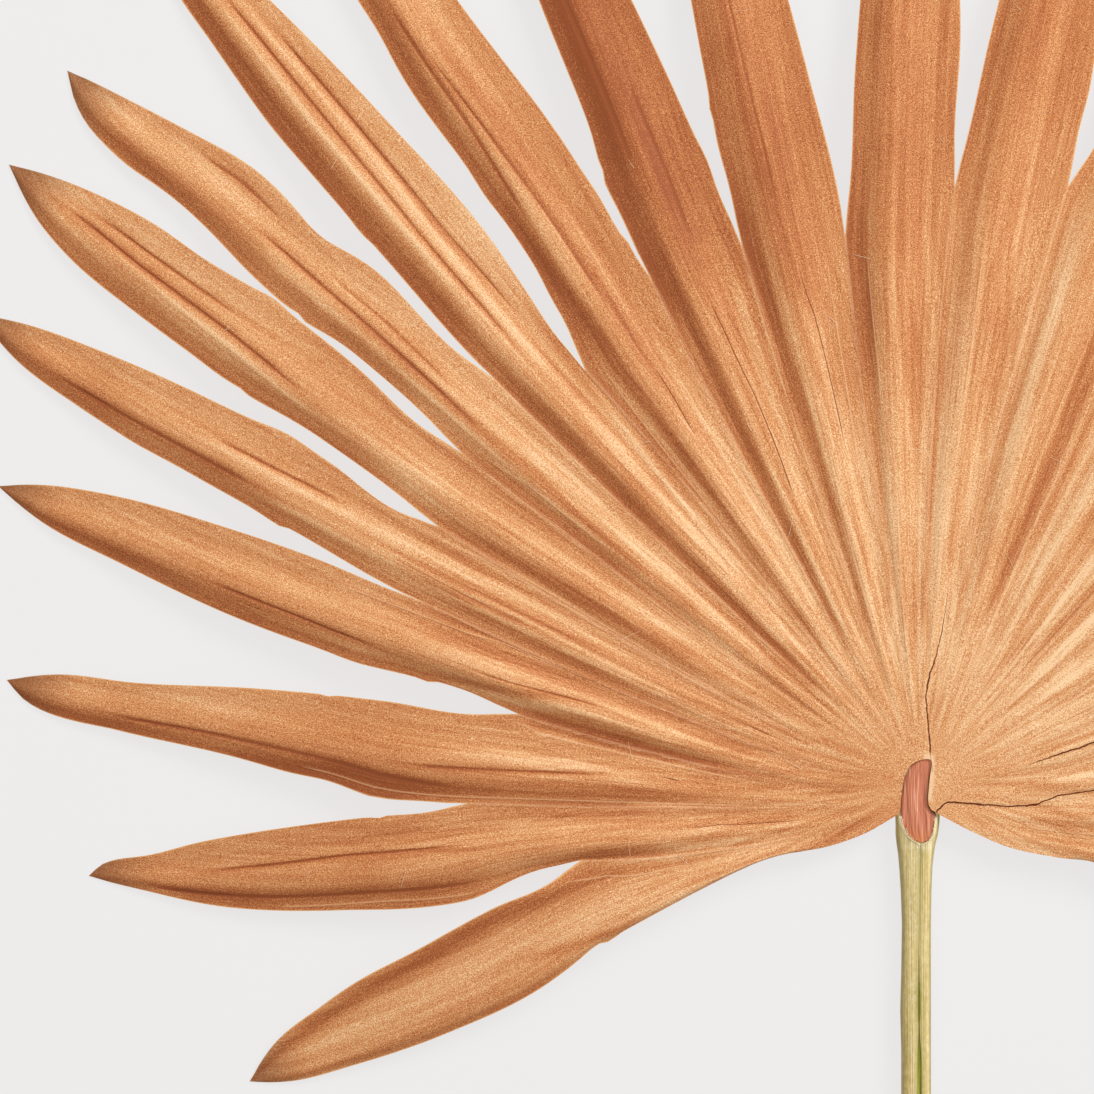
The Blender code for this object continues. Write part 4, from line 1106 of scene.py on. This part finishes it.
# ---- stalk ----------------------------------------------------------------------------------
def stalk_look(colours):
    """Straw-coloured rind with lengthwise fibres, waxy flecks, painted shade along its flanks and
    green inside the slit.
    """
    shade = Shade("stalk_rind", roughness=0.5, specular=0.15)
    rise, fall, noise = shade.rise, shade.fall, shade.noise
    x, y = shade.xy(shade.place())
    depth, side = shade.uv("inside")
    rim, drop = shade.uv("mouth")
    wide = noise((x * 420.0, y * 9.0), detail=3.0, rough=0.6)
    thin = noise((x * 2400.0, y * 34.0, 5.0), rough=0.6)
    cross = noise((x * 900.0, y * 420.0, 8.0), rough=0.7)
    tone = 0.55 + (wide - 0.5) * 1.5 + (thin - 0.5) * 1.0 + (cross - 0.5) * 0.9
    colour = shade.ramp(tone, (
        (0.0, TINTS["stalk deep"]), (0.3, TINTS["stalk dark"]), (0.55, colours.stalk),
        (0.8, TINTS["stalk light"]), (1.0, TINTS["stalk pale"]),
    ))
    warm = rise(noise((x * 200.0, y * 14.0, 11.0)), 0.55, 0.75)
    wax_zone = rise(side, 0.10, 0.22) * fall(side, 0.42, 0.45)
    wax = rise(noise((x * 2300.0, y * 480.0, 1.0), detail=3.0, rough=0.7), 0.48, 0.64)
    waxy = rise(noise((x * 150.0, y * 60.0, 15.0)), 0.38, 0.58)
    olive = rise(side, 0.28, 0.47) * fall(side, 0.53, 0.72)
    # painted shade along both flanks, where the round stalk turns away from the light
    near_side = shade.math("MINIMUM", side, 1.0 - side)
    flank = fall(near_side + (thin - 0.5) * 0.05, 0.01, 0.10)
    green = shade.mix(rise(thin, 0.4, 0.6), TINTS["green"], TINTS["green light"])
    ragged = rise(rim + (thin - 0.5) * 0.9, 0.25, 0.6)
    colour = shade.over(
        colour, (warm * 0.4, TINTS["stalk warm"]),
        (wax * wax_zone * waxy * 0.55, TINTS["wax"]), (olive * 0.75, TINTS["olive"]),
        (flank * 0.6, TINTS["flank"]), (rise(depth, 0.25, 0.6), green),
        (ragged * 0.85, TINTS["ragged"]),
        (drop * rise(thin, 0.45, 0.6) * 0.8, TINTS["frayed"]),
    )
    return shade.finish(thin * 0.6 + cross * 0.35 + wide * 0.3, 0.0003, 0.6, Base_Color=colour)


def stalk_places():
    """Corner places of the stalk's skin: columns run over the top, then round underneath."""
    y = np.concatenate([np.linspace(a, b, n, endpoint=False) for a, b, n in STALK_ROWS])
    y = np.append(y, STALK_ROWS[-1][1])[:, None]

    def read_table(table):
        stations, *values = np.array(table).T
        return [np.interp(-y, -stations, value) for value in values]

    centre, half, low, high = read_table(STALK)
    lip_l, lip_r, depth = read_table(OPENING)
    # the top's columns crowd round the opening
    stops = (0.0, 0.40, 0.44, 0.47, 0.50, 0.53, 0.56, 0.60, 1.0)
    t = np.linspace(0, 1, STALK_TOP + 1)
    edge = np.minimum(0.16, np.maximum(lip_r - lip_l, 0.05) * 0.25)
    marks = np.hstack((
        np.minimum(centre - 0.93 * half, lip_l - 0.35), lip_l - 0.12, lip_l, lip_l + edge,
        (lip_l + lip_r) / 2, lip_r - edge, lip_r, lip_r + 0.12,
        np.maximum(centre + 0.93 * half, lip_r + 0.35),
    ))
    x = np.array([np.interp(t, stops, mark) for mark in marks])
    up = np.clip(np.abs(x - centre) / half, 0, 0.985)
    middle = (low + high) / 2 * 0.9
    z = middle + (high - middle) * (1 - up**2.6) ** (1 / 2.6)
    groove_x = np.interp(-y, (18, 30, 52, 160, 236), (-0.25, -0.4, -0.75, -0.4, 0.0))
    groove = np.interp(-y, (-50, 17, 22, 40, 60, 236), (0, 0, 0.25, 0.5, 0.5, 0.45))
    z -= groove * bell((x - groove_x) / 0.75)
    z += (0.05 * np.sin(x * 9 + 0.08 * y) + 0.04 * np.sin(x * 17 + 2)) * ease(-y, 5, 12)
    slope = np.minimum(0.16, (lip_r - lip_l) * 0.25)
    within = ease(x, lip_l, lip_l + slope) * (1 - ease(x, lip_r - slope, lip_r))
    z -= within * depth
    rim = bell((x - lip_l + 0.25) / 0.3) + bell((x - lip_r - 0.25) / 0.3)
    z += 0.28 * rim * ((y < -9.4) & (y > -18.2))
    inside = within * np.clip(depth, 0, 1) * (y < -30)
    mouth = np.clip(rim * 1.3, 0, 1) * ease(y, -18.6, -17.6) * (y < -8)
    drop = np.clip(bell((y + 18.6) / 0.7) * bell((x + 0.2) / 2.6), 0, 1)

    # round underneath, from the right flank to the left one, where the skin closes
    step = np.arange(1, STALK_UNDER)
    turn = math.pi * step / STALK_UNDER
    bulge = np.copysign(np.abs(np.cos(turn)) ** (2 / 3.0), np.cos(turn))
    side = z[:, -1:] + (z[:, :1] - z[:, -1:]) * step / STALK_UNDER
    x = np.hstack((x, centre + half * bulge, x[:, :1]))
    z = np.hstack((z, side - (side - low) * np.sin(turn) ** (2 / 3.0), z[:, :1]))
    across = np.concatenate((t, np.linspace(1, 0, STALK_UNDER + 1)[1:]))
    layers = [np.pad(layer, ((0, 0), (0, STALK_UNDER))) for layer in (inside, mouth, drop)]
    return (x, y, z), across, *layers


class PALM_OT_stalk(bpy.types.Operator):
    """Build the stalk with its collar, groove and slit"""

    bl_idname = "palm.stalk"
    bl_label = "Stalk"

    def execute(self, context):
        places, across, inside, mouth, drop = stalk_places()
        obj, at = new_grid("leaf_stalk", inside.shape)
        set_places(obj, at, *places)
        set_layer(obj, at, "inside", inside, across)
        set_layer(obj, at, "mouth", mouth, drop)
        merge(obj, 1e-6, outward=True, fill=True)
        coat(obj, stalk_look(context.scene.palm_colours))
        smooth(obj, 50)
        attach(obj, "root")
        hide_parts("petiole")
        return {"FINISHED"}


# ---- stray fibres -------------------------------------------------------------------------
def blade_height(obj, x, y):
    """Height of the blade's upper face under a place in millimetres from the hub."""
    start = ((x + HUB[0]) * MM, (y + HUB[1]) * MM, 0.06)
    hit, at, *_ = obj.ray_cast(start, (0, 0, -1))
    return at[2] / MM if hit else None


class PALM_OT_fibres(bpy.types.Operator):
    """Lay short stray fibres on the blade and round the collar's mouth"""

    bl_idname = "palm.fibres"
    bl_label = "Stray fibres"

    def execute(self, context):
        blade = bpy.data.objects["leaf_blade"]
        drawn = bpy.data.curves.new("fibres", "CURVE")
        drawn.dimensions = "3D"
        drawn.bevel_depth = context.scene.palm_sizes.fibre
        drawn.bevel_resolution = 1
        drawn.use_fill_caps = True
        rng = np.random.default_rng(7)
        placed = 0
        while placed < FIBRES:
            angle, radius = rng.uniform(-15, 200), rng.uniform(35, 300)
            turn, length = rng.uniform(0, math.pi), rng.uniform(2.4, 7.0)
            bend = rng.uniform(-0.09, 0.09)
            way = np.array((math.cos(turn), math.sin(turn)))
            aside = np.array((-way[1], way[0]))
            start = polar(angle, radius)
            points = []
            for s in np.linspace(0, 1, 5):
                at = start + way * length * s + aside * bend * length * 4 * s * (1 - s)
                z = blade_height(blade, at[0], at[1])
                if z is None:
                    break
                points.append((at[0], at[1], z + 0.06 + 0.12 * math.sin(math.pi * s)))
            else:
                self.add(drawn, points)
                placed += 1
        stations, *edges = np.array(CORE)[::-1].T
        # short ones along both lips of the mouth
        for y in -10.0 - 7.0 * (np.arange(26) / 25):
            for edge, slant in zip(edges, (1, 0.8)):
                x = np.interp(-y, -stations, edge) * 0.98
                lean, size = rng.uniform(-0.4, 0.4), rng.uniform(0.5, 1.3)
                self.add(drawn, [
                    (x + lean * s, y + size * s * slant, 8.25 + 0.35 * math.sin(2.6 * s))
                    for s in (0, 0.5, 1)
                ])
        holder = bpy.data.objects.new("stray_fibres", drawn)
        bpy.context.scene.collection.objects.link(holder)
        pick(holder)
        bpy.ops.object.convert(target="MESH")
        obj = bpy.context.object
        coat(obj, fleck_look("stray_fibres", 0.6, 0.2, 300.0, 1.0, "fibre", "fibre pale"))
        smooth(obj, 60)
        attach(obj, "root")
        return {"FINISHED"}

    def add(self, drawn, points):
        """Draws one fibre that thins towards its end."""
        line = drawn.splines.new("POLY")
        line.points.add(len(points) - 1)
        for i, (target, point) in enumerate(zip(line.points, points)):
            target.co = (*((np.array(point) + HUB) * MM), 1.0)
            target.radius = 1.0 - 0.6 * i / (len(points) - 1)


# ---- stage --------------------------------------------------------------------------------
class PALM_OT_stage(bpy.types.Operator):
    """Set the floor, the lights and the camera looking straight down"""

    bl_idname = "palm.stage"
    bl_label = "Stage"

    def execute(self, context):
        look, scene = context.scene.palm_stage, context.scene
        bpy.ops.mesh.primitive_plane_add(size=8.0, location=(0, 0, 0))
        floor = bpy.context.object
        floor.name = "floor"
        shade = Shade("floor", roughness=0.9, specular=0.0)
        coat(floor, shade.finish(
            Base_Color=(0.10, 0.10, 0.10), Emission_Color=tuple(look.floor),
            Emission_Strength=0.93,
        ))

        aim = np.array((-0.10, 0.03, 0.0))   # both lights point at the middle of the fan
        # name, power, width and place in metres
        for name, power, size, spot in (
            ("key", look.key, 0.9, (1.15, 1.05, 1.25)),
            ("fill", look.fill, 2.2, (-0.5, 0.2, 2.2)),
        ):
            data = bpy.data.lights.new(name, "AREA")
            data.energy, data.shape, data.size = power, "SQUARE", size
            lamp = bpy.data.objects.new(name, data)
            lamp.location = spot
            lamp.rotation_mode = "QUATERNION"
            lamp.rotation_quaternion = mathutils.Vector(aim - spot).to_track_quat("-Z", "Y")
            scene.collection.objects.link(lamp)
        scene.world = bpy.data.worlds.new("studio")
        scene.world.use_nodes = True
        sky = scene.world.node_tree.nodes["Background"].inputs
        sky["Color"].default_value = (1.0, 0.93, 0.85, 1.0)
        sky["Strength"].default_value = 0.45

        # the frame is this wide at the blade's height, metres
        distance, blade_top, wide = 2.0, 0.009, 0.3282
        lens = bpy.data.cameras.new("camera")
        lens.sensor_width = 36.0
        lens.lens = lens.sensor_width * (distance - blade_top) / wide
        lens.clip_end = 20.0
        camera = bpy.data.objects.new("camera", lens)
        camera.location = ((HUB[0] - 112.5) * MM, (HUB[1] + 71.4) * MM, distance)
        scene.collection.objects.link(camera)
        scene.camera = camera
        scene.view_settings.view_transform = "Standard"
        return {"FINISHED"}


class PALM_PT_panel(bpy.types.Panel):
    """Sidebar panel that lists the leaf's steps"""

    bl_idname = "PALM_PT_panel"
    bl_label = "Palm Leaf"
    bl_space_type = "VIEW_3D"
    bl_region_type = "UI"
    bl_category = "Palm Leaf"

    def draw(self, context):
        for name, _ in GROUPS:
            box, group = self.layout.box(), getattr(context.scene, name)
            for field in group.__annotations__:
                box.prop(group, field)
        for step in STEPS_IN_ORDER:
            self.layout.operator(step.bl_idname)


STEPS_IN_ORDER = (PALM_OT_blade, PALM_OT_core, PALM_OT_stalk, PALM_OT_fibres, PALM_OT_stage)
GROUPS = (("palm_sizes", LeafSizes), ("palm_colours", LeafColours), ("palm_stage", StageLook))
CLASSES = (*(group for _, group in GROUPS), *STEPS_IN_ORDER, PALM_PT_panel)


def register():
    for kind in CLASSES:
        bpy.utils.register_class(kind)
    for name, group in GROUPS:
        setattr(bpy.types.Scene, name, PointerProperty(type=group))


def unregister():
    for name, _ in GROUPS:
        delattr(bpy.types.Scene, name)
    for kind in reversed(CLASSES):
        bpy.utils.unregister_class(kind)


def main():
    register()
    bpy.ops.palm.blade()
    bpy.ops.palm.core()
    bpy.ops.palm.stalk()
    bpy.ops.palm.fibres()
    bpy.ops.palm.stage()


if __name__ == "__main__":
    main()
